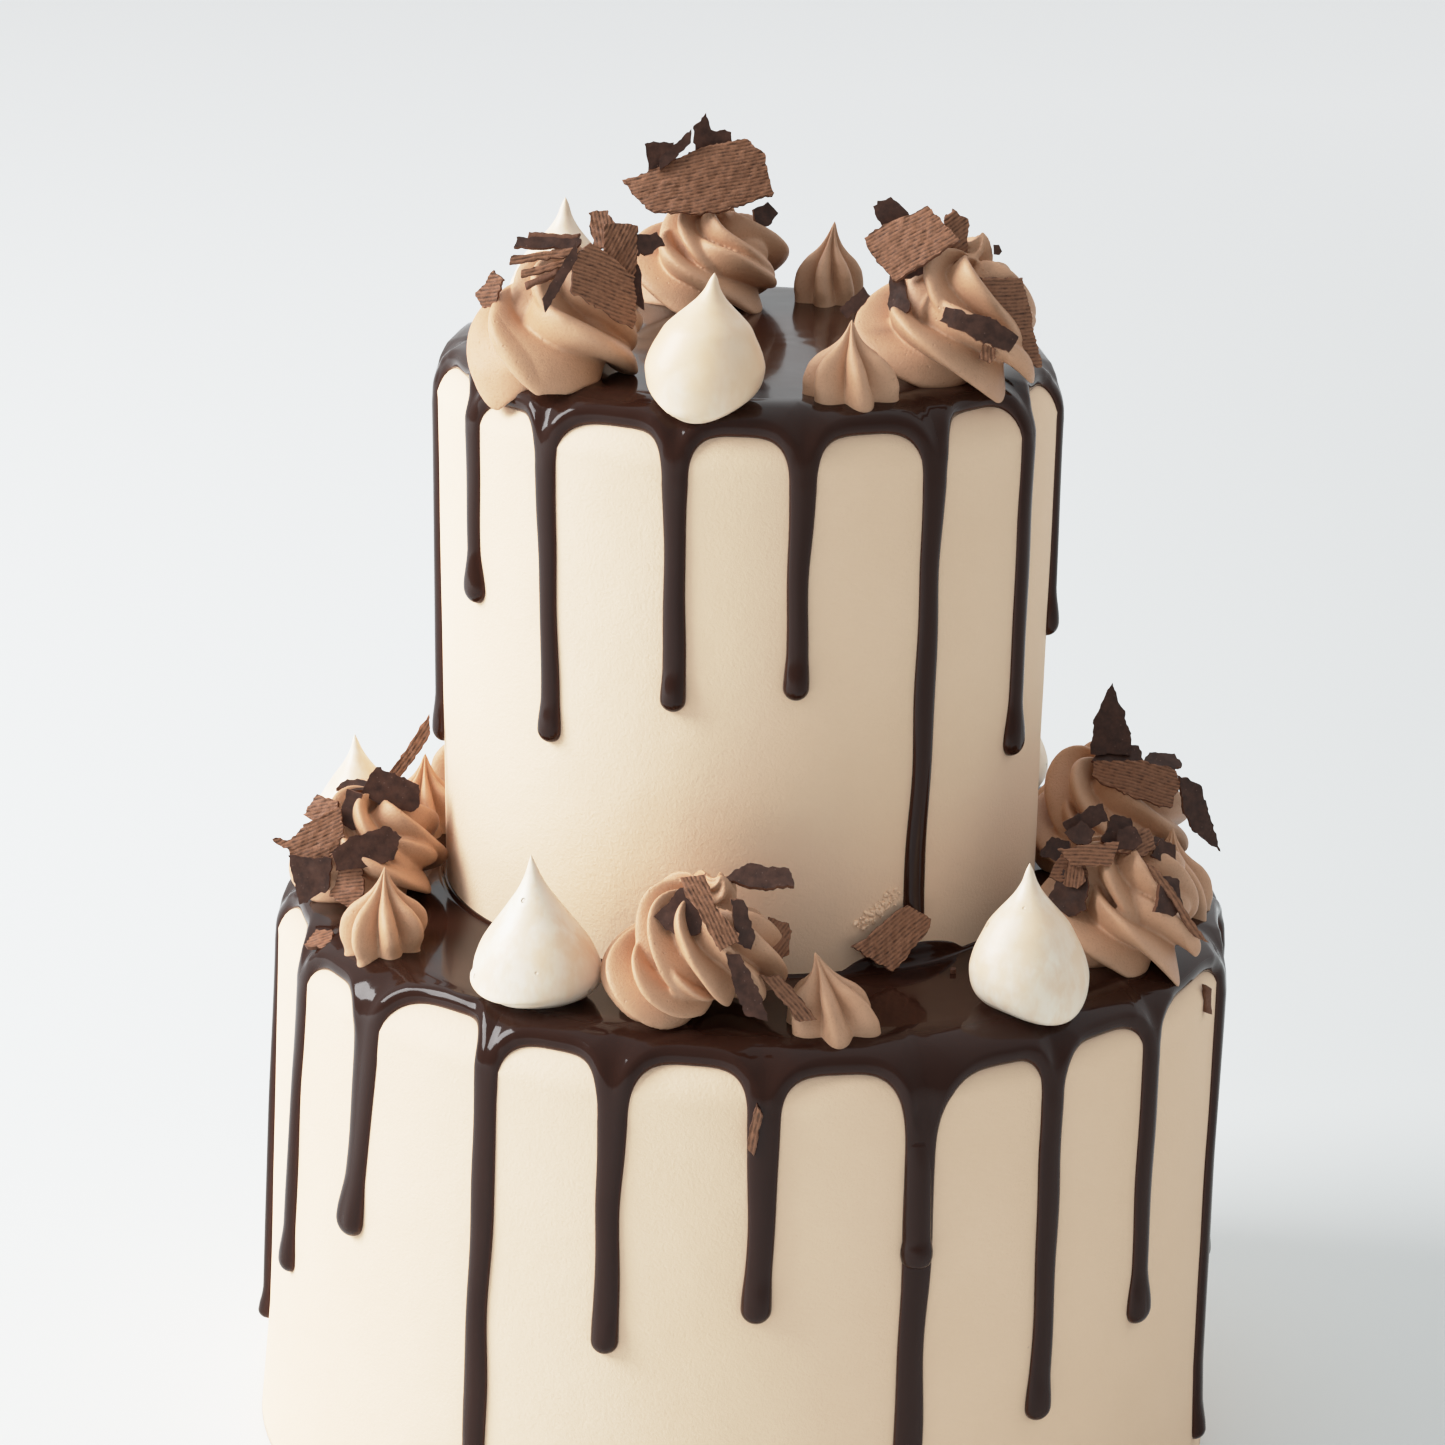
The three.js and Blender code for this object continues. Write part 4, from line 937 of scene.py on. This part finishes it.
def flake(bm, at, outline, face=FRONT, roll=0, bend=0, look=RIDGED, grain=0):
    """Adds one flake round its middle `at`. `face` is the way it looks, `roll` turns it in its own
    plane, `bend` curls its ends back and `grain` is the way its ridges run."""
    seed = at[0] * 1.7 + at[2]
    reach = max(math.hypot(u, v) for u, v in outline)
    slender = min(max(v[k] for v in outline) - min(v[k] for v in outline) for k in (0, 1))
    flat = bmesh.new()
    flat.faces.new([flat.verts.new((u, v, 0)) for u, v in ragged(outline, seed, min(0.42, 0.09 * slender))])
    along = Vector((math.cos(math.radians(grain)), math.sin(math.radians(grain)), 0))
    across = Vector((-along.y, along.x, 0))
    cut_along(flat, along, 1.2, reach, seed)
    cut_along(flat, across, RIDGE_PITCH / 2 if look == RIDGED else 1.7, reach, seed)
    bmesh.ops.solidify(flat, geom=flat.faces[:], thickness=FLAKE_THICKNESS)
    heights = [vert.co.z for vert in flat.verts]
    middle = (max(heights) + min(heights)) / 2
    # Each point keeps how deep in a groove it lies, for the shade that the finish paints there.
    groove_shade = flat.verts.layers.float.new("groove_shade")
    for vert in flat.verts:
        u, v = vert.co.x, vert.co.y
        side = 1 if vert.co.z > middle else -1
        line = vert.co.dot(across) / (RIDGE_PITCH / 2)
        ridge = 1 - 2 * abs(line % 2 - 1)
        way = vert.co.dot(along)
        uneven = 0.5 + 0.5 * math.sin(1.4 * way + 2.3 * line + seed + 1.8 * math.sin(0.7 * line + 0.5 * way))
        lift = side * FLAKE_THICKNESS / 2 + 0.12 * math.sin(0.9 * u + seed) * math.cos(0.7 * v + 2 * seed)
        if look == RIDGED:
            lift += RIDGE_HEIGHT * ridge * (0.5 + 0.7 * uneven) * (1 if side > 0 else 0.3)
            # Painted shade: the bottom of each groove is marked to be coloured darker.
            vert[groove_shade] = (0.5 - 0.5 * ridge) * (0.6 + 0.4 * uneven)
        vert.co.z = lift - bend * (math.hypot(u, v) / reach) ** 2
        wander = 0.13 * math.sin(0.42 * way + seed) + 0.09 * math.sin(1.9 * way + 2.4 * line + seed)
        vert.co += across * wander
    azimuth, rise = (math.radians(value) for value in face)
    normal = Vector((math.cos(rise) * math.cos(azimuth), math.cos(rise) * math.sin(azimuth), math.sin(rise)))
    level = Vector((-math.sin(azimuth), math.cos(azimuth), 0))
    right = Matrix.Rotation(math.radians(roll), 3, normal) @ level
    upward = normal.cross(right)
    frame_of = Matrix((right, upward, normal)).transposed().to_4x4()
    flat.normal_update()
    for one in flat.faces:
        steep = abs(one.normal.z) < 0.45
        one.material_index = BROKEN if steep else look
    bmesh.ops.transform(flat, matrix=Matrix.Translation(at) @ frame_of, verts=flat.verts)
    held = bpy.data.meshes.new("flake")
    flat.to_mesh(held)
    flat.free()
    bm.from_mesh(held)
    bpy.data.meshes.remove(held)


def flakes(name, rows, *nodes):
    """Several flakes as one piece."""
    bm = bmesh.new()
    # The layer that carries the painted shade of the grooves.
    bm.verts.layers.float.new("groove_shade")
    for row in rows:
        flake(bm, **row)
    bmesh.ops.triangulate(bm, faces=bm.faces)
    bmesh.ops.recalc_face_normals(bm, faces=bm.faces)
    bmesh.ops.scale(bm, vec=(MM, MM, MM), verts=bm.verts)
    for edge in bm.edges:
        edge.smooth = len({face.material_index for face in edge.link_faces}) == 1
    return piece(name, smooth_mesh(name, bm, *CHOCOLATE), "chocolate", *nodes)


# The leaning flake has scraped small lumps of cream off the wall of the upper tier. They lie along a
# line: its angle and its height at both ends, their size, and how far each of these strays.
LUMPS = 130
LUMP_ANGLE, ANGLE_STRAYS = (-67, -60.3), 1.5
LUMP_HEIGHT, HEIGHT_STRAYS = (170.2, 177.8), 1.7
LUMP_SIZE, SIZE_STRAYS = 0.46, 0.26


def scraped_cream(name):
    bm = bmesh.new()
    for k in range(LUMPS):
        way = k / (LUMPS - 1)
        angle = math.radians(mix(*LUMP_ANGLE, way) + ANGLE_STRAYS * chance(k + 0.3))
        z = mix(*LUMP_HEIGHT, way) + HEIGHT_STRAYS * chance(k + 0.6)
        size = LUMP_SIZE + SIZE_STRAYS * chance(k + 0.9)
        x, y = axis_at(UPPER, z)
        radius = UPPER.radius + wall_spread(UPPER, z) + 0.2 * size + 0.15 * chance(k + 0.1)
        made = bmesh.ops.create_icosphere(bm, subdivisions=2, radius=size)["verts"]
        place = (x + radius * math.cos(angle), y + radius * math.sin(angle), z)
        bmesh.ops.translate(bm, vec=place, verts=made)
    for vert in bm.verts:
        x, y, z = vert.co
        vert.co += Vector([ripple(x, y, z, 0.9, seed) for seed in (1, 2, 3)]) * 0.3
    piece(name, finish_mesh(name, bm, CREAM), "cream")


# The piped and baked toppings by the solid that each stands for.
SWIRLS = {
    "swirl_top_left": dict(
        tier=UPPER, at=(-53.6, -40.6), radius=23.2, height=32.8, start=20, lean=(3.6, 0), blades=4, spin=1.3,
    ),
    "swirl_top_back": dict(tier=UPPER, at=(-15.9, 50.7), radius=22.5, height=31, start=0, phase=36),
    "swirl_top_right": dict(tier=UPPER, at=(45.2, -31.3), radius=24, height=37, start=25, lean=(8, 0)),
    "swirl_left": dict(tier=LOWER, at=(-103.3, -18.5), radius=21.8, height=32, start=0, lean=(4, 0)),
    "swirl_front": dict(
        tier=LOWER, at=(-15.8, -103.8), radius=22.8, height=37, start=-40, lean=(7, -1),
        turns=1.9, blades=6, spin=1.6, full=1.5,
    ),
    "swirl_right": dict(
        tier=LOWER, at=(97.5, -51.1), radius=23, height=34, start=20, lean=(-3, 0),
        turns=1.9, spin=1.5, full=1.2,
    ),
    "swirl_far_right": dict(
        tier=LOWER, at=(99.4, 17), radius=23.6, height=36, start=-25, lean=(-2, 0), full=1.3,
    ),
    "swirl_back": dict(tier=LOWER, at=(22, 103.7), radius=22, height=33, start=200, phase=12),
}

STARS = {
    "star_top_back": dict(tier=UPPER, at=(16, 57.6), radius=10.4, lean=(1.4, 0), phase=5),
    "star_top_front": dict(
        tier=UPPER, at=(19.8, -60.2), radius=11.5, height=19.4, phase=-68, blades=6, spread=0.08,
    ),
    "star_left": dict(tier=LOWER, at=(-96.2, -63.6), radius=12.2, height=22, phase=-70, spread=-0.1),
    "star_front": dict(
        tier=LOWER, at=(20, -111.4), radius=11, height=19.6, lean=(-5, 0), phase=-80, blades=6, spread=0.14,
    ),
    "star_right": dict(tier=LOWER, at=(113, -14), radius=12, phase=9),
    "star_far_left": dict(tier=LOWER, at=(-93, 33), radius=11, phase=33),
    "star_back_right": dict(tier=LOWER, at=(92, 55.8), radius=11, height=20, phase=15),
    "star_back": dict(tier=LOWER, at=(-20.6, 106), height=23, phase=28),
    "star_back_left": dict(tier=LOWER, at=(-83, 72.2), radius=11.8, phase=41),
}

KISSES = {
    "kiss_top_front": dict(
        tier=UPPER, at=(-16.7, -68.2), radius=14.8, height=31.9, lean=(1.9, 0), high=1.0, baked=0.65,
        fold=0.035, folded=-120,
    ),
    "kiss_top_left": dict(tier=UPPER, at=(-55.1, -4.4), radius=14.6, height=38, lean=(0.5, 0), high=1.0),
    "kiss_front_left": dict(
        tier=LOWER, at=(-54.5, -95.8), radius=16.2, height=37.8, lean=(-2.3, 0), high=0.0,
        fold=0.12, folded=-155,
    ),
    "kiss_front_right": dict(tier=LOWER, at=(70, -92.2), radius=15.2, height=38, lean=(-1.2, 0), high=0.8),
    "kiss_far_left": dict(tier=LOWER, at=(-109.5, 18), radius=13.5, height=32, lean=(-2, 0)),
    "kiss_back_right": dict(tier=LOWER, at=(70, 80.6), height=38, lean=(1, 1), high=0.6),
    "kiss_back": dict(tier=LOWER, at=(-55, 95.3), radius=15.8, lean=(0, 2), high=0.1, fold=0.04, folded=60),
}


def cut_from(form, at, size, turned):
    """The row of a flake whose outline is a plain form, made this wide and this high."""
    return dict(at=at, outline=[(u * size[0], v * size[1]) for u, v in form], **turned)


def slab(at, size, **turned):
    return cut_from(SLAB, at, size, turned)


def strip(at, size, **turned):
    return cut_from(STRIP, at, size, turned)


# The flakes by the swirl that they stick in. The large ones stand for solids of their own.
SMALL_FLAKES = {
    "swirl_top_left": [
        dict(
            at=(-36.4, -43.8, 332.4), outline=[(-5, 8.5), (-2.5, -3), (4, -8.5), (3, -0.5), (0, 8.5)],
            look=PLAIN,
        ),
        slab((-43.5, -43, 343.8), (8, 11), face=(-100, 20), roll=25, grain=80),
        dict(
            at=(-39, -44.5, 342), outline=[(-4, 4), (-5, -13), (3, -13), (4.5, 3.5)],
            face=(-80, 15), grain=60,
        ),
        slab((-32.5, -43, 340.8), (9, 5.5), face=(-80, 25), roll=15, look=PLAIN),
        strip((-55.5, -50.4, 343.2), (13.5, 2.6), face=(-95, 30), roll=3, look=BROKEN),
        strip((-56.9, -53, 342.2), (17, 3.2), face=(-95, 35), roll=3, look=PLAIN),
        strip((-57.8, -56, 339.6), (17.5, 2.3), face=(-95, 25), roll=12),
        strip((-57.6, -57.5, 336.6), (12, 2), face=(-95, 25), roll=17),
        strip((-57.9, -58.5, 334.2), (9.5, 1.9), face=(-95, 25), roll=30, look=BROKEN),
        strip((-53.1, -61, 335.4), (2.6, 19.5), face=(-90, 10), roll=-29, look=PLAIN),
        slab((-71.6, -46, 328.6), (6, 9.5), face=(-110, 15), roll=-20, grain=30),
    ],
    "swirl_top_back": [
        dict(
            at=(-31, 50, 347.5), outline=[(-4.5, 3), (-3, -5), (3, -15), (10, -15), (4, -2), (3.5, 3.5)],
            face=(-90, 10), look=PLAIN,
        ),
        strip((-26.8, 44, 350), (2.8, 14), roll=-45, look=PLAIN),
        dict(
            at=(-17.4, 50, 353.4),
            outline=[(-5, 1.5), (-2.5, -20), (3.5, -20), (5.5, 1), (0, 1.5), (-1.5, 6)],
            face=(-90, 5), look=PLAIN,
        ),
        slab((-2.5, 47, 332), (8, 6), face=(-70, 20), roll=30, look=PLAIN),
    ],
    "swirl_top_right": [
        dict(
            at=(29.4, -32, 349), outline=[(-4.5, 1), (-2, -4), (4, -17), (11, -15), (4.5, 0), (0, 3.5)],
            face=(-90, 10), look=PLAIN,
        ),
        dict(
            at=(46.2, -32, 345.6), outline=[(-3, -12), (3, -12), (3, 2), (-1, 4.5), (-3, 2)], face=(-85, 8),
            grain=40,
        ),
        slab((31.8, -43.5, 329.4), (5.5, 11), roll=20, face=(-110, 20), look=PLAIN),
        slab((54.6, -51, 317.6), (4.5, 6.5), roll=5, grain=90),
    ],
    "swirl_left": [
        slab((-108.3, -27, 182.4), (7, 11), face=(-100, 15), look=PLAIN),
        slab((-108.5, -19, 186), (9, 4), face=(-90, 60), look=PLAIN),
        slab((-116.3, -24, 181), (10, 7.5), face=(-110, 25), grain=20),
        slab((-108.1, -39, 165.4), (9, 12.5), face=(-100, 25), grain=10),
        strip((-93.4, -13, 194.6), (3.4, 22), roll=-33, grain=90),
    ],
    "swirl_front": [
        slab((-18.4, -115, 187.6), (12.5, 11.5), face=(-100, 25), roll=-15, look=PLAIN),
        slab((-3.6, -119, 186.7), (5, 14), face=(-80, 10), roll=15, look=PLAIN),
        slab((0.8, -103, 193.2), (17.5, 7), face=(-90, 50), roll=-4, look=PLAIN),
        slab((4.6, -103, 176.5), (9, 11.5), face=(-70, 15), roll=-10, grain=60),
        dict(
            at=(-1.8, -125.8, 171.5),
            outline=[(-5.5, 9), (-3, 0.5), (0, -6), (5.5, -7.5), (3, 0.5), (-2, 9)],
            look=PLAIN,
        ),
        strip((8.6, -119, 167.6), (4.2, 18), roll=40, face=(-80, 15), grain=90),
    ],
    "swirl_right": [
        strip((85.9, -54, 194), (12, 6), roll=32, look=PLAIN),
        slab((94.2, -54, 191.5), (9, 8), face=(-80, 25), look=PLAIN),
        slab((98.5, -58, 190), (10.5, 8), face=(-75, 35), grain=20),
        slab((81.4, -64, 177.4), (11, 12), face=(-110, 20), look=PLAIN),
        slab((81.5, -61, 183.2), (10, 8), face=(-95, 30), grain=0),
        slab((78.5, -54, 186), (8, 6.5), face=(-110, 25), look=PLAIN),
        slab((103.5, -54, 186), (10, 8), face=(-70, 35), look=PLAIN),
        slab((106.6, -67, 178.3), (9, 11), face=(-60, 15), look=PLAIN),
        slab((84, -60, 192.4), (7.5, 6), face=(-100, 30), roll=-25, look=PLAIN),
        slab((96.3, -59.5, 191.2), (7, 6.5), face=(-95, 20), roll=20, look=PLAIN),
        slab((82.6, -64.2, 183.2), (6, 8.5), face=(-100, 20), roll=10, grain=80),
        slab((106.2, -57, 187.2), (7, 6), face=(-75, 30), roll=-15, look=PLAIN),
        strip((109.1, -67.3, 177.1), (2.2, 28), roll=33, face=(-75, 15), grain=90),
    ],
    "swirl_far_right": [
        slab((99.3, 10.5, 191.8), (14.5, 7), face=(-90, 40), look=PLAIN),
        slab((111, 10.5, 190), (12, 6), face=(-75, 50), look=PLAIN),
        dict(
            at=(97.3, 12, 200.4), outline=[(-5.5, -8.5), (5.5, -8.5), (5.5, -2.5), (0, 11), (-5, 1)],
            look=PLAIN,
        ),
    ],
    "swirl_back": [
        slab((14, 112, 187), (13, 9), face=(110, 35), look=PLAIN),
        slab((31, 110, 185), (10, 12), face=(60, 30), roll=20, grain=15),
    ],
}

# Small bits on the glaze, which stand for no solid.
LOOSE_BITS = [
    strip((21, -42, 327.1), (8.8, 3.6), roll=52, face=(-100, 10), look=PLAIN),
    slab((57, -31.2, 339.6), (2.2, 3), roll=20, look=PLAIN),
    slab((-114.1, -53.2, 154.6), (7.5, 6.5), face=(-122, 56), roll=20, grain=20),
    strip((1.3, -131.9, 137.1), (2.4, 13.6), face=(-90, 0), roll=-10, grain=90),
    strip((121.1, -48.2, 143.2), (2.4, 9), face=(-45, 5), roll=2, look=BROKEN),
    slab((51.9, -72, 158.2), (1.6, 1.3), face=(-90, 70), look=PLAIN),
]

LARGE_FLAKES = {
    "flake_top_left": dict(
        at=(-41.8, -56.5, 332),
        outline=[(-9, 6), (-9, -1), (6.5, -10.5), (7.5, -8.5), (7.5, 2.5), (-3.5, 11.5)],
        bend=1, grain=-22, face=(-72, 12),
    ),
    "flake_top_back": dict(
        at=(-20.7, 42.5, 342.4), bend=1.5, face=(-90, 25), grain=14,
        outline=[
            (-20.5, -0.5), (-14, -8), (-9.5, -9.5), (5, -9.5), (21, -3),
            (18, 8), (12.5, 12), (-1, 8), (-11.5, 2.5),
        ],
    ),
    "flake_top_front": dict(
        at=(32.1, -39, 342.6), face=(-104, 32), grain=36,
        outline=[(-9.5, 0), (-6.5, -4.5), (0.5, -11), (15, 1.5), (5.5, 10), (-5, 4)],
    ),
    "flake_top_side": dict(
        at=(59.3, -42.4, 324.3), outline=[(-6.8, 10.5), (-4.8, -8), (9.5, -13.2), (4.8, 10)], face=(-68, 10),
    ),
    "flake_top_curl": dict(
        at=(52.2, -55.8, 324.3), bend=2, face=(-85, 20), look=PLAIN,
        outline=[(-10, 2), (-1.5, -2.5), (7.5, -6), (10, -2), (3, 2.5), (-8.5, 5.5)],
    ),
    "flake_left_top": dict(
        at=(-97, -23, 185.4),
        outline=[(-9, 0.5), (-3.5, -3.5), (4.5, -4.5), (6.5, -3), (6.5, 3), (-5, 7.5)],
        look=PLAIN,
    ),
    "flake_left_pointed": dict(
        at=(-119.4, -32, 175), face=(-95, 25), grain=28,
        outline=[
            (-9.5, -0.5), (-5.5, -2.5), (-3, -7), (6, -4.5), (10, 1.5), (8, 9), (-0.5, 4.5), (-5.5, -0.5),
        ],
    ),
    "flake_left_middle": dict(
        at=(-103.4, -37.5, 174.4), face=(-85, 25), look=PLAIN,
        outline=[(-9, -1), (-8, -5.5), (-0.5, -4.5), (7.5, -2.5), (9.5, 3.5), (5, 6.5), (-4.5, 3.5)],
    ),
    "flake_left_low": dict(
        at=(-117.6, -38.5, 165.5), outline=[(-7, 6.5), (-3, -6.5), (0.5, -4), (4.5, -1.5), (5, 7)],
        face=(-100, 15), look=PLAIN,
    ),
    "flake_front": dict(
        at=(-10.5, -119.5, 189.4), face=(-90, 25), bend=1, grain=-62,
        outline=[(-8.5, 8.5), (-5, 1.5), (2, -9.5), (6.5, -7), (6.5, -5), (0, 1.5), (-2, 10)],
    ),
    "flake_right": dict(
        at=(86.4, -64.5, 188.2), outline=[(-8.5, 1.5), (-5, -3), (5.5, -2.5), (7.5, 4)], face=(-90, 20),
    ),
    "flake_far_right": dict(
        at=(105.4, 2, 187.4), face=(-90, 35), bend=1, grain=-15,
        outline=[(-13, 5), (-13.5, 1), (-1.5, -5.5), (8, -7.5), (10.5, -1.5), (9.5, 3), (0, 5.5)],
    ),
    "flake_far_side": dict(
        at=(121.4, 2.5, 178.7), face=(-70, 10), look=PLAIN,
        outline=[(-5.5, 10.5), (-4.5, 1), (-1, -6), (6.5, -11.5), (3.5, -1.5), (0.5, 7.5)],
    ),
    "flake_back": slab((21, 119, 183.5), (17, 13), face=(88, 35), roll=10, bend=1, grain=10),
    "flake_leaning": dict(
        at=(38.3, -73, 168.1), outline=[(-14, -2.5), (-3.5, -9.5), (7.5, 1.5), (8, 3.5), (2, 7.5)],
        face=(-75, 25), grain=35,
    ),
}


def make_cake():
    tier_body("lower_cream", LOWER, "lower_tier")
    tier_body("upper_cream", UPPER, "upper_tier")
    poured("lower_poured_glaze", LOWER, LOWER_DRIPS, "lower_glaze", lower_inward)
    poured("upper_poured_glaze", UPPER, UPPER_DRIPS, "upper_glaze", upper_inward)
    over_drip("over_drip")
    scraped_cream("scraped_cream")
    flakes("loose_bits", LOOSE_BITS)
    for node, sizes in SWIRLS.items():
        swirl(node, **sizes)
    for node, sizes in STARS.items():
        star(node, **sizes)
    for node, sizes in KISSES.items():
        kiss(node, **sizes)
    for node, rows in SMALL_FLAKES.items():
        flakes("flakes_of_" + node, rows, node)
    for node, row in LARGE_FLAKES.items():
        flakes("shaved_" + node, [row], node)


# The camera stands where the picture was taken: millimetres, degrees and the lens for a 36 mm frame.
CAMERA_AT = (-9.658, -1108.577, 548.015)
CAMERA_DOWN = 17.373
CAMERA_ROLL = 1.647
CAMERA_LENS = 106.257


def make_camera():
    data = bpy.data.cameras.new("camera")
    data.lens = CAMERA_LENS
    data.sensor_width = 36
    data.clip_start, data.clip_end = 0.05, 60
    camera = placed("camera", data)
    down = Matrix.Rotation(math.radians(90 - CAMERA_DOWN), 4, "X")
    rolled = Matrix.Rotation(math.radians(CAMERA_ROLL), 4, "Z")
    camera.matrix_world = Matrix.Translation(Vector(CAMERA_AT) * MM) @ (down @ rolled)
    bpy.context.scene.camera = camera


def make_floor():
    finish = Finish("floor_finish", Roughness=0.6, Specular_IOR_Level=0.2)
    # Painted light on the floor: its colour is darker towards the right near the cake, a painted shade, and
    # paler far back, a painted falloff of the light.
    x, y = (finish.node("ShaderNodeSeparateXYZ", {}, finish.place, output=k) for k in (0, 1))
    near = finish.blend(finish.between(x, -0.15, 0.45), shade(240, 244, 245), shade(205, 209, 209))
    finish.set(Base_Color=finish.blend(finish.between(y, 0.3, 2.4), near, shade(252, 254, 255)))
    bm = bmesh.new()
    bmesh.ops.create_grid(bm, x_segments=8, y_segments=8, size=14000)
    floor = placed("floor", finish_mesh("floor", bm, finish.material))


# The window on the left, in metres and watts: where it is, the point that it faces, its width and
# height, its power and its colour.
WINDOW_AT = (-2.2, -0.25, 1.45)
WINDOW_FACES = (0, 0, 0.2)
WINDOW_SIZE = (1.25, 1.35)
WINDOW_POWER = 98
WINDOW_COLOUR = (0.97, 0.99, 1.0)


def make_window():
    data = bpy.data.lights.new("window", "AREA")
    data.shape = "RECTANGLE"
    data.size, data.size_y = WINDOW_SIZE
    data.energy = WINDOW_POWER
    data.color = WINDOW_COLOUR
    light = placed("window", data)
    light.location = WINDOW_AT
    light.rotation_euler = (Vector(WINDOW_FACES) - Vector(WINDOW_AT)).to_track_quat("-Z", "Y").to_euler()


# How the picture renders light: straight up to half, then bending over towards white.
TONE = [(0.25, 0.25), (0.5, 0.5), (0.7, 0.655), (1, 0.79), (1.5, 0.9), (2, 0.955), (3, 1)]


# Axis of the room, where its brightness starts and stops changing, and the two brightnesses.
ROOM = [(1, -0.7, 0.2, 0.54, 1.14), (0, -0.2, 0.6, 0.97, 0.87), (2, 0.1, 0.6, 0.86, 1.06)]

# How bright the camera sees the plain background.
BACKGROUND = 0.8


def make_air():
    """A pale room, dimmer on the camera's side, whose plain background is as pale from anywhere."""
    world = bpy.data.worlds.new("air")
    world.use_nodes = True
    tree = world.node_tree
    background = tree.nodes["Background"]
    place = tree.nodes.new("ShaderNodeTexCoord").outputs["Generated"]
    split = tree.nodes.new("ShaderNodeSeparateXYZ")
    tree.links.new(place, split.inputs[0])
    room = None
    for axis, low, high, dim, bright in ROOM:
        fade = tree.nodes.new("ShaderNodeMapRange")
        tree.links.new(split.outputs[axis], fade.inputs["Value"])
        for socket, value in zip(("From Min", "From Max", "To Min", "To Max"), (low, high, dim, bright)):
            fade.inputs[socket].default_value = value
        part = fade.outputs[0]
        if room is not None:
            times = tree.nodes.new("ShaderNodeMath")
            times.operation = "MULTIPLY"
            tree.links.new(room, times.inputs[0])
            tree.links.new(part, times.inputs[1])
            part = times.outputs[0]
        room = part
    seen = tree.nodes.new("ShaderNodeLightPath").outputs["Is Camera Ray"]
    strength = tree.nodes.new("ShaderNodeMix")
    tree.links.new(seen, strength.inputs["Factor"])
    tree.links.new(room, strength.inputs[2])
    strength.inputs[3].default_value = BACKGROUND
    tree.links.new(strength.outputs[0], background.inputs["Strength"])
    background.inputs["Color"].default_value = (*shade(245, 248, 249), 1)
    bpy.context.scene.world = world


def make_light_and_air():
    make_air()
    make_window()
    view = bpy.context.scene.view_settings
    view.view_transform = "Standard"
    view.use_curve_mapping = True
    tone = view.curve_mapping
    tone.white_level = (TONE[-1][0],) * 3
    for light, shown in TONE[:-1]:
        tone.curves[3].points.new(light / TONE[-1][0], shown)
    tone.update()
    bpy.context.scene.cycles.max_bounces = 8


make_camera()
make_floor()
make_light_and_air()
make_cake()
